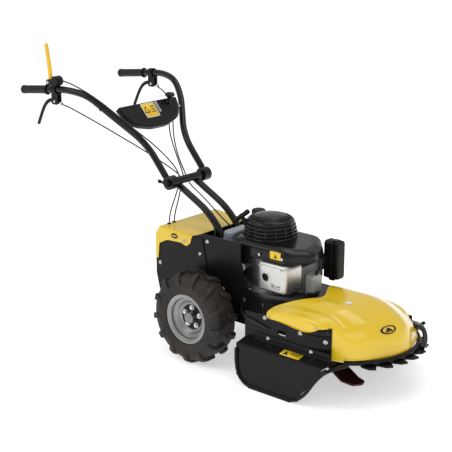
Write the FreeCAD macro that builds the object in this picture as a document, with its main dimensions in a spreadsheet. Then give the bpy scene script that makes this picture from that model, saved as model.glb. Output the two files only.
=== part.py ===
"""Walk-behind brush mower: parametric model of every separate piece.

The machine stands on z = 0, +X is forward, +Y is its left side.  Every piece is laid out with the
axle above x = 0 and is then moved forward by axle_x, which puts the origin under the middle of the
machine's box.  All sizes are millimetres and come from the Dims sheet.
"""
import FreeCAD, Part
import math
import os
import re
import Sketcher

os.makedirs("parts", exist_ok=True)
doc = FreeCAD.newDocument("BrushMower")
Vector = FreeCAD.Vector
Rotation = FreeCAD.Rotation

# ---------------------------------------------------------------- driving dimensions
DIMENSIONS = {
    # whole machine
    "axle_x": 45.0,
    "sheet_thick": 3.0,
    "gap": 0.3,
    "bolt_radius": 4.0,
    "bolt_head_radius": 9.0,
    # wheels and axle
    "axle_height": 165.0,
    "axle_radius": 10.0,
    "axle_half": 262.0,
    "running_gap": 0.05,
    "tyre_mid": 228.0,
    "tyre_radius": 165.0,
    "carcass_radius": 152.0,
    "tyre_half_width": 52.5,
    "rim_radius": 89.0,
    "barrel_radius": 73.0,
    "lug_count": 13,
    "stud_count": 5,
    "stud_circle": 34.0,
    "stud_hole": 4.2,
    # transmission body
    "case_half": 150.0,
    "hood_half": 153.5,
    "worm_x": -52.0,
    "wheel_gear_radius": 36.0,
    "worm_radius": 15.5,
    "input_radius": 8.0,
    # mowing deck
    "deck_half": 235.0,
    "deck_rear": 237.0,
    "deck_low": 150.0,
    "pan_height": 197.0,
    "front_x": 495.0,
    "pan_x": 473.0,
    "pan_radius": 224.0,
    "spindle_x": 405.0,
    "rim_bar_radius": 240.0,
    "rim_bar_height": 150.0,
    "comb_radius": 266.0,
    "comb_root": 244.0,
    "comb_inner": 232.0,
    "comb_height": 134.0,
    "comb_teeth": 11,
    "wing_half": 290.0,
    "runner_radius": 6.0,
    "blade_radius": 282.0,
    "blade_height": 57.0,
    "blade_thick": 6.0,
    "spindle_radius": 12.5,
    "blade_angle": -32.0,
    # engine
    "engine_x": 153.0,
    "engine_plate_top": 253.0,
    "crank_radius": 12.5,
    "shroud_low": 390.0,
    "shroud_top": 441.0,
    "dome_radius": 96.0,
    "dome_top": 520.0,
    # belts
    "blade_belt_height": 216.0,
    "drive_belt_height": 233.0,
    "crank_pulley_radius": 38.0,
    "blade_pulley_radius": 62.0,
    "drive_pulley_radius": 50.0,
    "belt_thick": 8.0,
    "belt_width": 10.0,
    # handlebar
    "tube_radius": 12.5,
    "tube_bore": 10.5,
    "column_half": 48.0,
    "tilt_x": -242.0,
    "tilt_height": 580.0,
    "clamp_radius": 25.0,
    "clamp_bolt_radius": 5.0,
    "handle_half": 252.0,
    "handle_height": 893.0,
    "grip_radius": 15.5,
    "grip_length": 142.0,
    "grip_slope": 6.5,
    "lever_x": -664.0,
    "lever_pivot_height": 850.0,
    "safety_x": -692.0,
    "safety_height": 918.0,
    "cable_radius": 2.5,
}

sheet = doc.addObject("Spreadsheet::Sheet", "Dims")
for row, (alias, number) in enumerate(DIMENSIONS.items(), start=1):
    sheet.set(f"A{row}", alias)
    sheet.set(f"B{row}", str(number))
    sheet.setAlias(f"B{row}", alias)
doc.recompute()


def size(alias):
    """One driving dimension, read back from the sheet."""
    return float(getattr(sheet, alias))


THICK = size("sheet_thick")
AXLE_Z = size("axle_height")
CASE = size("case_half")
DECK = size("deck_half")
SPINDLE = size("spindle_x")
FRONT = size("front_x")
ENGINE = size("engine_x")
TILT = Vector(size("tilt_x"), 0, size("tilt_height"))
HANDLE = size("handle_half")
BOLT = size("bolt_radius")
INSIDE = CASE - THICK - size("gap")

# places of pieces that more than one other piece is built around
ROPE_WAY = Vector(-0.6, 0, 0.8)
GRIP_SPOT = Vector(72, -60, 508)
BLADE_IDLER_PIN = (322, -112)
BLADE_IDLER = (275, -91)
DRIVE_IDLER_PIN = (15, 100)
DRIVE_IDLER = (60, 78)
TUBE_START = Vector(-259.1, -97.3, 599.6)
HANDLE_BEND = Vector(-612, -HANDLE, size("handle_height") + 6)
GRIP_WAY = Vector(-math.cos(math.radians(size("grip_slope"))), 0, -math.sin(math.radians(size("grip_slope"))))
HANDLE_END = HANDLE_BEND + GRIP_WAY * 235
KNOB_SPOT = Vector(-424, 100, 838)
CASE_BOLTS = [(-45, 364), (-65, 293), (-242, 292)]
UPRIGHT_BOLTS = [(-13, 415), (62, 258)]
DECK_BOLTS = [(323, 239), (473, 222)]
LEFT_DECK_BOLTS = [(285, 190)]
CORNER_BOLT = (212, 18)
WING_BOLTS = [(341, 170.5), (521, 170.5)]
HOOD_CABLES = [(-230, -114), (-232, -86)]
DECK_CABLE = (346, 204)
FUEL_CAP = (27, 86)
EXHAUST = (241, 338)

ALONG = {
    "X": Rotation(Vector(0, 1, 0), 90),
    "Y": Rotation(Vector(1, 0, 0), -90),
    "-Y": Rotation(Vector(1, 0, 0), 90),
    "Z": Rotation(),
}
finished = []
positions = {}


# ---------------------------------------------------------------- building helpers
def expression(text):
    """Sheet aliases in a formula, written the way the document's expressions want them."""
    def full(match):
        word = match.group()
        return f"Dims.{word}" if word in DIMENSIONS else word
    return re.sub(r"[a-z][a-z_]+", full, str(text))


def bind(item, **properties):
    """Bind properties of an object to formulas over the sheet."""
    for name, formula in properties.items():
        item.setExpression(name, expression(formula))


def place(item, x=0, y=0, z=0, turn=None):
    """Put an object at a position given as numbers or formulas."""
    if turn is not None:
        item.Placement = FreeCAD.Placement(Vector(), turn)
    positions[item.Name] = (x, y, z)
    for axis, value in zip("xyz", (x, y, z)):
        item.setExpression(f"Placement.Base.{axis}", expression(value))
    return item


def finish(item, label):
    """Name a finished piece and move it from the axle's frame to the machine's."""
    x, y, z = positions.get(item.Name, (0, 0, 0))
    place_shifted = (f"axle_x + ({x})", y, z)
    for axis, value in zip("xyz", place_shifted):
        item.setExpression(f"Placement.Base.{axis}", expression(value))
    item.Label = label
    finished.append(item)
    return item


def mirrored(item, label):
    """The same piece on the machine's other side."""
    twin = doc.addObject("Part::Mirroring", f"{label}_mirror")
    twin.Source = item
    twin.Base = Vector()
    twin.Normal = Vector(0, 1, 0)
    twin.Label = label
    finished.append(twin)
    return twin


def reflected(item, name):
    """A mirrored copy that goes into a larger piece."""
    twin = doc.addObject("Part::Mirroring", name)
    twin.Source = item
    twin.Base = Vector()
    twin.Normal = Vector(0, 1, 0)
    return twin


def cylinder(name, radius, height, x=0, y=0, z=0, along="Z"):
    item = doc.addObject("Part::Cylinder", name)
    bind(item, Radius=radius, Height=height)
    return place(item, x, y, z, ALONG[along])


def cone(name, radius_low, radius_high, height, x=0, y=0, z=0, along="Z"):
    item = doc.addObject("Part::Cone", name)
    bind(item, Radius1=radius_low, Radius2=radius_high, Height=height)
    return place(item, x, y, z, ALONG[along])


def box(name, length, width, height, x=0, y=0, z=0):
    """A block with its low corner at x, y, z."""
    item = doc.addObject("Part::Box", name)
    bind(item, Length=length, Width=width, Height=height)
    return place(item, x, y, z)


def fuse(name, *items, refine=True):
    joined = doc.addObject("Part::MultiFuse", name)
    joined.Shapes = list(items)
    joined.Refine = refine
    return joined


def cut(name, base, *tools):
    """The base with every tool taken out of it."""
    tool = tools[0] if len(tools) == 1 else fuse(f"{name}_tools", *tools)
    rest = doc.addObject("Part::Cut", name)
    rest.Base = base
    rest.Tool = tool
    return rest


def common(name, base, tool):
    shared = doc.addObject("Part::Common", name)
    shared.Base = base
    shared.Tool = tool
    return shared


def group(name, *items):
    """Separate solids that share one node."""
    several = doc.addObject("Part::Compound", name)
    several.Links = list(items)
    return several


def outline_edges(corners):
    """Closed outline of straight lines, with an arc at each corner that has a third value, its radius."""
    count = len(corners)
    points = [Vector(c[0], c[1], 0) for c in corners]
    starts, ends, arcs = [], [], []
    for i, corner in enumerate(corners):
        radius = corner[2] if len(corner) > 2 else 0
        here = points[i]
        back = (points[i - 1] - here).normalize()
        ahead = (points[(i + 1) % count] - here).normalize()
        if radius:
            half = back.getAngle(ahead) / 2
            reach = radius / math.tan(half)
            centre = here + (back + ahead).normalize() * (radius / math.sin(half))
            middle = centre + (here - centre).normalize() * radius
            starts.append(here + back * reach)
            ends.append(here + ahead * reach)
            arcs.append(Part.Arc(starts[-1], middle, ends[-1]))
        else:
            starts.append(here)
            ends.append(here)
            arcs.append(None)
    edges = []
    for i in range(count):
        if arcs[i]:
            edges.append(arcs[i])
        following = starts[(i + 1) % count]
        if (following - ends[i]).Length > 1e-6:
            edges.append(Part.LineSegment(ends[i], following))
    return edges


def sketch_in(body, plane, corners, offset=0):
    """A sketch of one closed outline on one of the body's own origin planes."""
    sketch = body.newObject("Sketcher::SketchObject", f"{body.Name}_sketch")
    support = next(f for f in body.Origin.OriginFeatures if f.Role == f"{plane}_Plane")
    sketch.AttachmentSupport = [(support, "")]
    sketch.MapMode = "FlatFace"
    if offset:
        sketch.AttachmentOffset = FreeCAD.Placement(Vector(0, 0, offset), Rotation())
    sketch.addGeometry(outline_edges(corners), False)
    return sketch


def padded(name, plane, corners, thick, x=0, y=0, z=0, turn=None, symmetric=False):
    """A body padded from an outline; thick is a formula."""
    body = doc.addObject("PartDesign::Body", name)
    pad = body.newObject("PartDesign::Pad", f"{name}_pad")
    pad.Profile = sketch_in(body, plane, corners)
    bind(pad, Length=thick)
    pad.Midplane = symmetric
    doc.recompute()
    return place(body, x, y, z, turn)


def revolved(name, profile, x=0, y=0, z=0, along="Z", angle=360, symmetric=False):
    """A body turned from (radius, height) corners about its own Z, which is laid along an axis."""
    body = doc.addObject("PartDesign::Body", name)
    turn = body.newObject("PartDesign::Revolution", f"{name}_turn")
    sketch = sketch_in(body, "XZ", profile)
    turn.Profile = sketch
    turn.ReferenceAxis = (sketch, ["V_Axis"])
    turn.Angle = angle
    turn.Midplane = symmetric
    doc.recompute()
    return place(body, x, y, z, ALONG[along])


def rounded(body, radius, chooser, name="round"):
    """Fillet the edges of a body's tip that the chooser picks."""
    doc.recompute()
    base = body.Tip
    names = [f"Edge{i + 1}" for i, edge in enumerate(base.Shape.Edges) if chooser(edge)]
    fillet = body.newObject("PartDesign::Fillet", f"{body.Name}_{name}")
    fillet.Base = (base, names)
    bind(fillet, Radius=radius)
    body.Tip = fillet
    doc.recompute()
    return body


def route(points, share=0.45):
    """Straight runs joined by tangent arcs, each as large as its two runs allow."""
    points = [Vector(*p) for p in points]
    edges, radii = [], []
    last = points[0]
    for before, here, after in zip(points, points[1:], points[2:]):
        back = (before - here).normalize()
        ahead = (after - here).normalize()
        reach = share * min((before - here).Length, (after - here).Length)
        half = back.getAngle(ahead) / 2
        radius = reach * math.tan(half)
        centre = here + (back + ahead).normalize() * (reach / math.cos(half))
        middle = centre + (here - centre).normalize() * radius
        first, second = here + back * reach, here + ahead * reach
        edges.append(Part.LineSegment(last, first).toShape())
        edges.append(Part.Arc(first, middle, second).toShape())
        radii.append(radius)
        last = second
    edges.append(Part.LineSegment(last, points[-1]).toShape())
    return Part.Wire(edges), radii


def swept(wire, radius):
    """A round bar of the given radius along a wire."""
    start = wire.Edges[0]
    direction = start.tangentAt(start.FirstParameter)
    circle = Part.Wire(Part.Circle(start.valueAt(start.FirstParameter), direction, radius).toShape())
    return wire.makePipeShell([circle], True, False)


def tube(name, points, radius, bore=None, share=0.45, report=False):
    """A bent bar or, with a bore, a bent pipe; its volume is compared with section times length."""
    wire, radii = route(points, share)
    shape = swept(wire, size(radius))
    section = size(radius) ** 2
    if bore:
        shape = shape.cut(swept(wire, size(bore)))
        section -= size(bore) ** 2
    wanted = math.pi * section * wire.Length
    if abs(shape.Volume - wanted) > 0.01 * wanted:
        raise ValueError(f"{name}: volume {shape.Volume:.0f}, expected {wanted:.0f}")
    if report:
        print(f"{name}: length {wire.Length:.0f} mm, bend radii", [round(r) for r in radii])
    item = doc.addObject("Part::Feature", name)
    item.Shape = shape
    return item


def side_holes(name, spots, half, radius=BOLT):
    """Holes along Y through a plate at a given half width, at (x, z) spots."""
    return [cylinder(f"{name}_hole{i}", radius, 20, x, -half - 10, z, "Y") for i, (x, z) in enumerate(spots)]


def side_bolt(name, x, z, face):
    """A domed bolt on the right-hand outer face at y = -face: head, and a shank through the sheet."""
    head = cone(f"{name}_head", "bolt_head_radius", "bolt_head_radius * 0.55", 5, x, -face, z, "-Y")
    shank = cylinder(f"{name}_shank", "bolt_radius", 9, x, -face, z, "Y")
    return fuse(name, head, shank)


def mirror_all(items):
    return [reflected(item, f"{item.Name}_left") for item in items]


def about_front(item, degrees):
    """Swing an already placed object round the upright line through the middle of the deck's front arc."""
    middle = Vector(FRONT, 0, 0)
    turn = Rotation(Vector(0, 0, 1), degrees)
    holder = doc.addObject("Part::Compound", f"{item.Name}_swung")
    holder.Links = [item]
    holder.Placement = FreeCAD.Placement(middle - turn.multVec(middle), turn)
    return holder


def deck_corner(name, top):
    """The bent front end of a right-hand deck side plate, up to the given height."""
    bend = revolved(name, [(DECK - THICK, 151), (DECK, 151), (DECK, top), (DECK - THICK, top)], "front_x", 0, 0, "Z", 23,
                    symmetric=True)
    return place(bend, "front_x", 0, 0, Rotation(Vector(0, 0, 1), -78.5))


def band(line, thick):
    """A closed strip of even thickness under an open line of (x, z) points."""
    inner = []
    for i, (x, z) in enumerate(line):
        before = Vector(*line[max(i - 1, 0)], 0)
        after = Vector(*line[min(i + 1, len(line) - 1)], 0)
        along = (after - before).normalize()
        inner.append((x + along.y * thick, z - along.x * thick))
    return list(line) + inner[::-1]


# ---------------------------------------------------------------- transmission body
def transmission_body():
    """Side plates, uprights that carry the engine plate, the back plate and the yellow hood."""
    side = padded(
        "side_plate", "XZ",
        [(-246, 186, 8), (-262, 250, 40), (-262, 330, 30), (-248, 417.4), (-82.6, 417.4), (-82.6, 424), (-36, 424),
         (-8, 300), (-8, 205), (-60, 186)],
        "sheet_thick", y="-case_half + sheet_thick")
    right = cut("side_plate_drilled", side, *side_holes("side", CASE_BOLTS, CASE))
    finish(group("side_plate_pair", right, reflected(right, "side_plate_left")), "side_plates")

    upright = padded(
        "upright", "XZ",
        [(-82, 424), (-82, 262), (-60, 200), (-60, 118, 25), (60, 118, 25), (90, 150, 20), (237, 150), (237, 250),
         (170, 285, 30), (141, 375, 15), (141, 441), (-20, 441)],
        "sheet_thick", y="-case_half + 2 * sheet_thick + gap")
    axle_hole = cylinder("upright_axle_hole", "axle_radius + 3", 30, 0, "-case_half - 10", "axle_height", "Y")
    spots = CASE_BOLTS[:2] + UPRIGHT_BOLTS
    right = cut("upright_drilled", upright, axle_hole, *side_holes("upright", spots, INSIDE))
    grommet = cylinder("upright_grommet", 8, 30, 156, "-case_half - 10", 239, "Y")
    finish(group("upright_pair", cut("upright_grommeted", right, grommet), reflected(right, "upright_left")), "uprights")

    back = padded(
        "back_plate_body", "XZ",
        [(-95, 189), (-242, 189, 8), (-257, 250, 40), (-257, 330, 30), (-247, 410), (-244, 410), (-254, 330, 27),
         (-254, 250, 37), (-240, 192, 5), (-95, 192)],
        "2 * (case_half - sheet_thick - gap)", symmetric=True)
    finish(back, "back_plate")

    top = padded(
        "hood_top", "XZ",
        [(-266, 309), (-266, 400, 32), (-243, 434, 18), (-83, 421), (-83, 418), (-242, 430.8, 15), (-263, 399, 29),
         (-263, 309)],
        "2 * hood_half", symmetric=True)
    flap = padded(
        "hood_flap", "XZ",
        [(-266, 309), (-266, 400, 32), (-243, 434, 18), (-83, 421), (-88, 397), (-108, 381, 6), (-136, 389, 40),
         (-205, 386, 60), (-243, 366, 10), (-246, 309)],
        "sheet_thick", y="-hood_half + sheet_thick")
    entries = [cylinder(f"hood_entry{i}", "cable_radius + 1.5", 40, x, y, 410) for i, (x, y) in enumerate(HOOD_CABLES)]
    finish(cut("hood", fuse("hood_shell", top, flap, reflected(flap, "hood_flap_left")), *entries), "rear_hood")


# ---------------------------------------------------------------- wheels, axle and worm gearbox
def stud_spots():
    """Places of the wheel bolts round the axle, as (x, z) from its centre."""
    count = int(size("stud_count"))
    turns = [2 * math.pi * (i + 0.25) / count for i in range(count)]
    return [(round(size("stud_circle") * math.cos(t), 3), round(size("stud_circle") * math.sin(t), 3)) for t in turns]


def stud_holes(name, spots):
    """Bolt holes along Y through the middle of the right wheel."""
    return [cylinder(f"{name}_hole{i}", "stud_hole", 30, x, "-tyre_mid - 20", f"axle_height + {z}", "Y")
            for i, (x, z) in enumerate(spots)]


def wheel_parts():
    """Right wheel about its own centre at y = -tyre_mid, then the left one as its mirror image."""
    half = size("tyre_half_width")
    carcass = size("carcass_radius")
    barrel = size("barrel_radius")
    flange = size("rim_radius")
    solid = revolved(
        "carcass",
        [(barrel + 4, -40.2), (flange + 0.5, -43.2), (flange + 2, -49), (120, -half), (144, -47, 8),
         (carcass, -36, 8), (carcass, 36, 8), (144, 47, 8), (120, half), (flange + 2, 49), (flange + 0.5, 43.2),
         (barrel + 4, 40.2)],
        0, "-tyre_mid", "axle_height", "Y")
    envelope = revolved(
        "lug_envelope",
        [(128, -half - 2), (152, -half + 1), (size("tyre_radius"), -38), (size("tyre_radius"), 38),
         (152, half - 1), (128, half + 2)],
        0, "-tyre_mid", "axle_height", "Y")
    plan = [Vector(-9, 3, 126), Vector(9, 3, 126), Vector(30, 56, 126), Vector(8, 56, 126)]
    bar = Part.Face(Part.makePolygon(plan + plan[:1])).extrude(Vector(0, 0, 44))
    bars = []
    for i in range(int(size("lug_count"))):
        for side, form in ((0.25, bar), (-0.25, bar.mirror(Vector(), Vector(0, 1, 0)))):
            lug = form.copy()
            lug.rotate(Vector(), Vector(0, 1, 0), 360 / size("lug_count") * (i + side))
            bars.append(lug)
    lugs = doc.addObject("Part::Feature", "lug_bars")
    lugs.Shape = Part.makeCompound(bars)
    place(lugs, 0, "-tyre_mid", "axle_height")
    trimmed = common("lugs_trimmed", lugs, envelope)
    inner = revolved(
        "carcass_hollow",
        [(barrel, -33), (flange, -36), (120, 9 - half), (138, -38), (143, -30), (143, 30), (138, 38),
         (120, half - 9), (flange, 36), (barrel, 33)],
        0, "-tyre_mid", "axle_height", "Y")
    tyre = cut("tyre", fuse("tyre_solid", solid, trimmed, refine=False), inner)
    mirrored(finish(tyre, "tyre_right"), "tyre_left")

    rim = revolved(
        "rim",
        [(24, -12), (52, -12, 6), (64, -26, 6), (barrel, -30, 4), (barrel, -44, 4), (flange, -47), (flange, -44),
         (barrel + 3.5, -41), (barrel + 3.5, 41), (flange, 44), (flange, 47), (barrel, 44, 4), (barrel, -24, 3),
         (65, -21, 5), (53, -9, 6), (24, -9)],
        0, "-tyre_mid", "axle_height", "Y")
    spots = stud_spots()
    studs = []
    for i, (x, z) in enumerate(spots):
        head = doc.addObject("Part::Prism", f"wheel_bolt{i}_head")
        head.Polygon = 6
        bind(head, Circumradius=7.5, Height=6)
        place(head, x, "-tyre_mid - 12", f"axle_height + {z}", ALONG["-Y"])
        shank = cylinder(f"wheel_bolt{i}_shank", 4, 16, x, "-tyre_mid - 12", f"axle_height + {z}", "Y")
        studs.append(fuse(f"wheel_bolt{i}", head, shank))
    drilled_rim = cut("rim_drilled", rim, *stud_holes("rim", spots))
    finish(group("rims", drilled_rim, reflected(drilled_rim, "rim_left")), "wheel_rims")
    finish(group("wheel_bolt_set", *studs, *mirror_all(studs)), "wheel_bolts")

    hub_bore = size("axle_radius") + size("running_gap")
    hub = revolved(
        "hub",
        [(hub_bore, -34), (20, -34, 3), (23, -12), (23, -8.9), (46, -8.9), (46, -4), (23, -4), (20, 30),
         (hub_bore, 30)],
        0, "-tyre_mid", "axle_height", "Y")
    drilled = cut("hub_drilled", hub, *stud_holes("hub", spots))
    finish(group("hubs", drilled, reflected(drilled, "hub_left")), "wheel_hubs")
    shaft = cylinder("axle", "axle_radius", "2 * axle_half", 0, "-axle_half", "axle_height", "Y")
    finish(shaft, "axle_shaft")


def gearbox():
    """Worm gearbox: hollow case with axle sleeves, worm wheel on the axle, upright worm with its pulley."""
    case = box("gear_case_block", 135, 64, 100, -88, -32, 112)
    hollow = box("gear_case_hollow", 125, 54, 90, -83, -27, 117)
    reach = "case_half - 2 * sheet_thick - gap"
    sleeve = cylinder("axle_sleeve", 18, f"2 * ({reach})", 0, f"-({reach})", "axle_height", "Y")
    boss = cylinder("input_boss", 18, 12, "worm_x", 0, 206)
    bore = cylinder("axle_bore", "axle_radius + running_gap", 320, 0, -160, "axle_height", "Y")
    input_bore = cylinder("input_bore", "input_radius + running_gap", 80, "worm_x", 0, 160)
    solid = cut("gear_case_solid", fuse("gear_case_walls", case, sleeve, boss), hollow, bore, input_bore)
    finish(solid, "gear_case")

    wheel = cylinder("worm_wheel_disc", "wheel_gear_radius", 20, 0, -10, "axle_height", "Y")
    wheel_bore = cylinder("worm_wheel_bore", "axle_radius + running_gap", 30, 0, -15, "axle_height", "Y")
    finish(cut("worm_wheel_ring", wheel, wheel_bore), "worm_wheel")
    thread = cylinder("worm_thread", "worm_radius", 60, "worm_x", 0, 135)
    stem = cylinder("worm_stem", "input_radius", 124, "worm_x", 0, 120)
    wheel = pulley("drive_pulley", "drive_pulley_radius", "drive_belt_height", "input_radius", "worm_x")
    finish(group("worm_and_pulley", fuse("worm", thread, stem), wheel), "worm_shaft")


def pulley(name, radius, height, bore, x):
    """A flanged pulley whose groove holds a belt centred on the given height."""
    drum = cylinder(f"{name}_drum", radius, "belt_width + 7", x, 0, f"{height} - belt_width / 2 - 3.5")
    hole = cylinder(f"{name}_bore", bore, "belt_width + 20", x, 0, f"{height} - belt_width / 2 - 10")
    flip_low = cylinder(f"{name}_rim_low", f"{radius} + belt_thick + 1", 2, x, 0,
                        f"{height} - belt_width / 2 - 3.5")
    flip_high = cylinder(f"{name}_rim_high", f"{radius} + belt_thick + 1", 2, x, 0,
                         f"{height} + belt_width / 2 + 1.5")
    return cut(f"{name}_turned", fuse(f"{name}_blank", drum, flip_low, flip_high), hole)


def belt(name, first_x, first_radius, second_x, second_radius, height):
    """A closed belt round two pulleys on the centre line."""
    def loop(extra):
        small = size(first_radius) + extra
        large = size(second_radius) + extra
        span = second_x - first_x
        lean = math.asin((small - large) / abs(span))
        way = math.copysign(1, span)
        up = Vector(way * math.sin(lean), math.cos(lean), 0)
        first, second = Vector(first_x, 0, 0), Vector(second_x, 0, 0)
        flip = Vector(up.x, -up.y, 0)
        return Part.Wire([
            Part.LineSegment(first + up * small, second + up * large).toShape(),
            Part.Arc(second + up * large, second + Vector(way * large, 0, 0), second + flip * large).toShape(),
            Part.LineSegment(second + flip * large, first + flip * small).toShape(),
            Part.Arc(first + flip * small, first - Vector(way * small, 0, 0), first + up * small).toShape()])
    gap = size("gap")
    outer = Part.Face(loop(size("belt_thick")))
    strip = outer.cut(Part.Face(loop(gap))).extrude(Vector(0, 0, size("belt_width")))
    item = doc.addObject("Part::Feature", name)
    item.Shape = strip
    return finish(place(item, 0, 0, f"{height} - belt_width / 2"), name)


def belts_and_idlers():
    """Blade belt and drive belt at their driving line, and the swinging idlers that press on them."""
    belt("blade_belt", ENGINE, "crank_pulley_radius", SPINDLE, "blade_pulley_radius", "blade_belt_height")
    belt("drive_belt", ENGINE, "crank_pulley_radius", size("worm_x"), "drive_pulley_radius", "drive_belt_height")
    for label, pin, spot, radius, height in (
            ("blade_idler", BLADE_IDLER_PIN, BLADE_IDLER, 22, "blade_belt_height"),
            ("drive_idler", DRIVE_IDLER_PIN, DRIVE_IDLER, 20, "drive_belt_height")):
        reach = math.hypot(spot[0] - pin[0], spot[1] - pin[1])
        turn = math.degrees(math.atan2(spot[1] - pin[1], spot[0] - pin[0]))
        arm = padded(f"{label}_arm", "XY", [(-9, -9, 8), (reach + 9, -9, 8), (reach + 9, 9, 8), (-9, 9, 8)],
                     3, pin[0], pin[1], f"{height} + belt_width / 2 + 2", Rotation(Vector(0, 0, 1), turn))
        roller = cylinder(f"{label}_roller", radius, "belt_width", spot[0], spot[1], f"{height} - belt_width / 2")
        neck = cylinder(f"{label}_neck", 6, 4, spot[0], spot[1], f"{height} + belt_width / 2 - 1")
        hole = cylinder(f"{label}_hole", "clamp_bolt_radius + running_gap", 40, pin[0], pin[1], f"{height} - 20")
        finish(cut(f"{label}_whole", fuse(f"{label}_blank", arm, roller, neck), hole), label)


# ---------------------------------------------------------------- mowing deck
def deck_parts():
    """Pan with its rear wall and front skirt, bolted side plates, rim, comb and the two runner wings."""
    pan = padded(
        "pan_top", "XY",
        [(237, -231.5), (size("pan_x"), -231.5), (size("pan_x"), 231.5), (237, 231.5)],
        "sheet_thick", z="pan_height")
    disc = cylinder("pan_disc", "pan_radius", "sheet_thick", "pan_x", 0, "pan_height")
    rear = box("pan_rear_wall", "sheet_thick", 463, "pan_height - deck_low", 237.3, -231.5, "deck_low")
    radius = size("pan_radius")
    skirt = revolved(
        "pan_skirt", [(radius - 3, 152), (radius, 152), (radius, 198), (radius - 3, 198)], "pan_x", 0, 0, "Z", 180,
        symmetric=True)
    hole = cylinder("pan_spindle_hole", 31, 20, "spindle_x", 0, "pan_height - 8")
    finish(cut("pan", fuse("pan_blank", pan, disc, rear, skirt), hole), "deck_pan")

    side = padded(
        "deck_side", "XZ",
        [(237.3, 151), (FRONT, 151), (FRONT, 232), (480, 252, 10), (345, 254, 20), (300, 248), (237.3, 246)],
        "sheet_thick", y="-deck_half + sheet_thick")
    corner = deck_corner("deck_corner", 232)
    slot = padded("deck_slot", "XZ", [(378, 194, 8), (414, 194, 8), (414, 211, 8), (378, 211, 8)], 20, y=-225)
    height, turn = CORNER_BOLT
    corner_hole = about_front(cylinder("corner_hole", "bolt_radius", 20, FRONT, -DECK - 10, height, "Y"), turn)
    entry = side_holes("deck_cable", [DECK_CABLE], DECK, 7.5)
    right = cut("deck_side_drilled", fuse("deck_side_bent", side, corner), slot, corner_hole, *entry,
                *side_holes("deck_side", DECK_BOLTS + WING_BOLTS, DECK))
    low = padded(
        "deck_side_low", "XZ",
        [(237.3, 151), (FRONT, 151), (FRONT, 184), (470, 200, 15), (237.3, 200)],
        "sheet_thick", y="-deck_half + sheet_thick")
    left = cut("deck_side_low_drilled", fuse("deck_side_low_bent", low, deck_corner("deck_corner_low", 184)),
               *side_holes("deck_side_low", LEFT_DECK_BOLTS + WING_BOLTS, DECK))
    finish(group("deck_side_pair", right, reflected(left, "deck_side_left")), "deck_sides")

    bar = size("rim_bar_radius")
    height = size("rim_bar_height")
    rim = revolved(
        "rim_bar",
        [(bar - 8, height - 8, 7), (bar + 8, height - 8, 7), (bar + 8, height + 8, 7), (bar - 8, height + 8, 7)],
        "front_x", 0, 0, "Z", 114, symmetric=True)
    finish(rim, "front_rim")

    teeth = int(size("comb_teeth"))
    root = size("comb_root")
    start, end = -34.0, 46.0
    step = (end - start) / teeth
    outer = []
    inner = []
    for i in range(teeth):
        low = math.radians(start + i * step)
        tip = math.radians(start + (i + 0.75) * step)
        high = math.radians(start + (i + 1) * step)
        outer.append((root * math.cos(low), root * math.sin(low)))
        outer.append((size("comb_radius") * math.cos(tip), size("comb_radius") * math.sin(tip)))
        outer.append(((root + 1) * math.cos(high) - 0.5, (root + 1) * math.sin(high) - 0.5))
        inner.append((size("comb_inner") * math.cos(high), size("comb_inner") * math.sin(high)))
    first = math.radians(start)
    inner.insert(0, (size("comb_inner") * math.cos(first), size("comb_inner") * math.sin(first)))
    comb = padded("comb", "XY", outer + inner[::-1], 4, "front_x", 0, "comb_height + 4")
    finish(comb, "front_comb")

    strip = [(-238.5, 182), (-238.5, 158, 4), (-286, 146, 6), (-290, 7), (-287, 7), (-283.5, 142.8, 3),
             (-235.3, 155.5, 4), (-235.3, 182)]
    folded = padded("wing_strip", "YZ", strip, 420, 240)
    shape = padded(
        "wing_outline", "XZ",
        [(247, 184), (244, 60, 45), (276, 4, 26), (490, 4, 40), (560, 82, 60), (602, 146, 20), (634, 166), (634, 184)],
        80, y=-225)
    ledge = padded("wing_tab", "XZ", [(285, 158), (598, 158), (598, 184), (285, 184)], 12, y=-230)
    keep = fuse("wing_keep", cut("wing_low", shape, box("wing_top", 420, 100, 60, 240, -310, 158)), ledge)
    face = common("wing_face", folded, keep)
    rear_end = padded("wing_rear_end", "YZ", [(-288, 25, 10), (-288, 146), (-243, 156), (-243, 110, 15), (-262, 25, 15)],
                      "sheet_thick", 244)
    rod = tube(
        "runner_rod",
        [(246, -290, 128), (245, -290, 78), (256, -290, 32), (290, -290, 6), (494, -290, 6),
         (538, -290, 42), (574, -290, 96), (606, -284, 134), (634, -252, 150), (652, -214, 152)],
        "runner_radius")
    skid = box("runner_skid", 180, 12, 4, 302, -296, 0)
    body = fuse("wing", face, rear_end, rod, skid)
    right = cut("wing_drilled", body, *side_holes("wing", WING_BOLTS, DECK + 3))
    mirrored(finish(right, "wing_right"), "wing_left")


COVER_LINES = (
    (-238.5, [(333, 264), (400, 272), (440, 275), (466, 276), (500, 272), (520, 262), (530, 246)]),
    (-225, [(333, 267), (400, 275), (466, 279), (520, 282), (556, 276), (572, 264), (578, 246)]),
    (-200, [(333, 271), (400, 279), (470, 284), (556, 284), (602, 262), (622, 226), (630, 160)]),
    (-130, [(331, 287), (400, 295), (470, 298), (568, 297), (641, 272), (676, 232), (688, 160)]),
    (0, [(331, 297), (400, 305), (473, 308), (573, 306), (657, 279), (709, 233), (727, 160)]),
    (130, [(331, 264), (400, 267), (470, 264), (560, 257), (618, 234), (664, 202), (688, 160)]),
    (146, [(331, 259), (400, 260), (470, 257), (556, 249), (612, 228), (655, 198), (674, 160)]),
    (200, [(333, 232), (400, 231), (470, 231), (540, 222), (588, 202), (616, 182), (630, 160)]),
    (225, [(333, 222), (400, 221), (466, 221), (520, 218), (554, 210), (571, 200), (578, 190)]),
    (238.5, [(333, 216), (400, 215), (440, 215), (466, 214), (504, 208), (522, 200), (530, 188)]),
)


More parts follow.
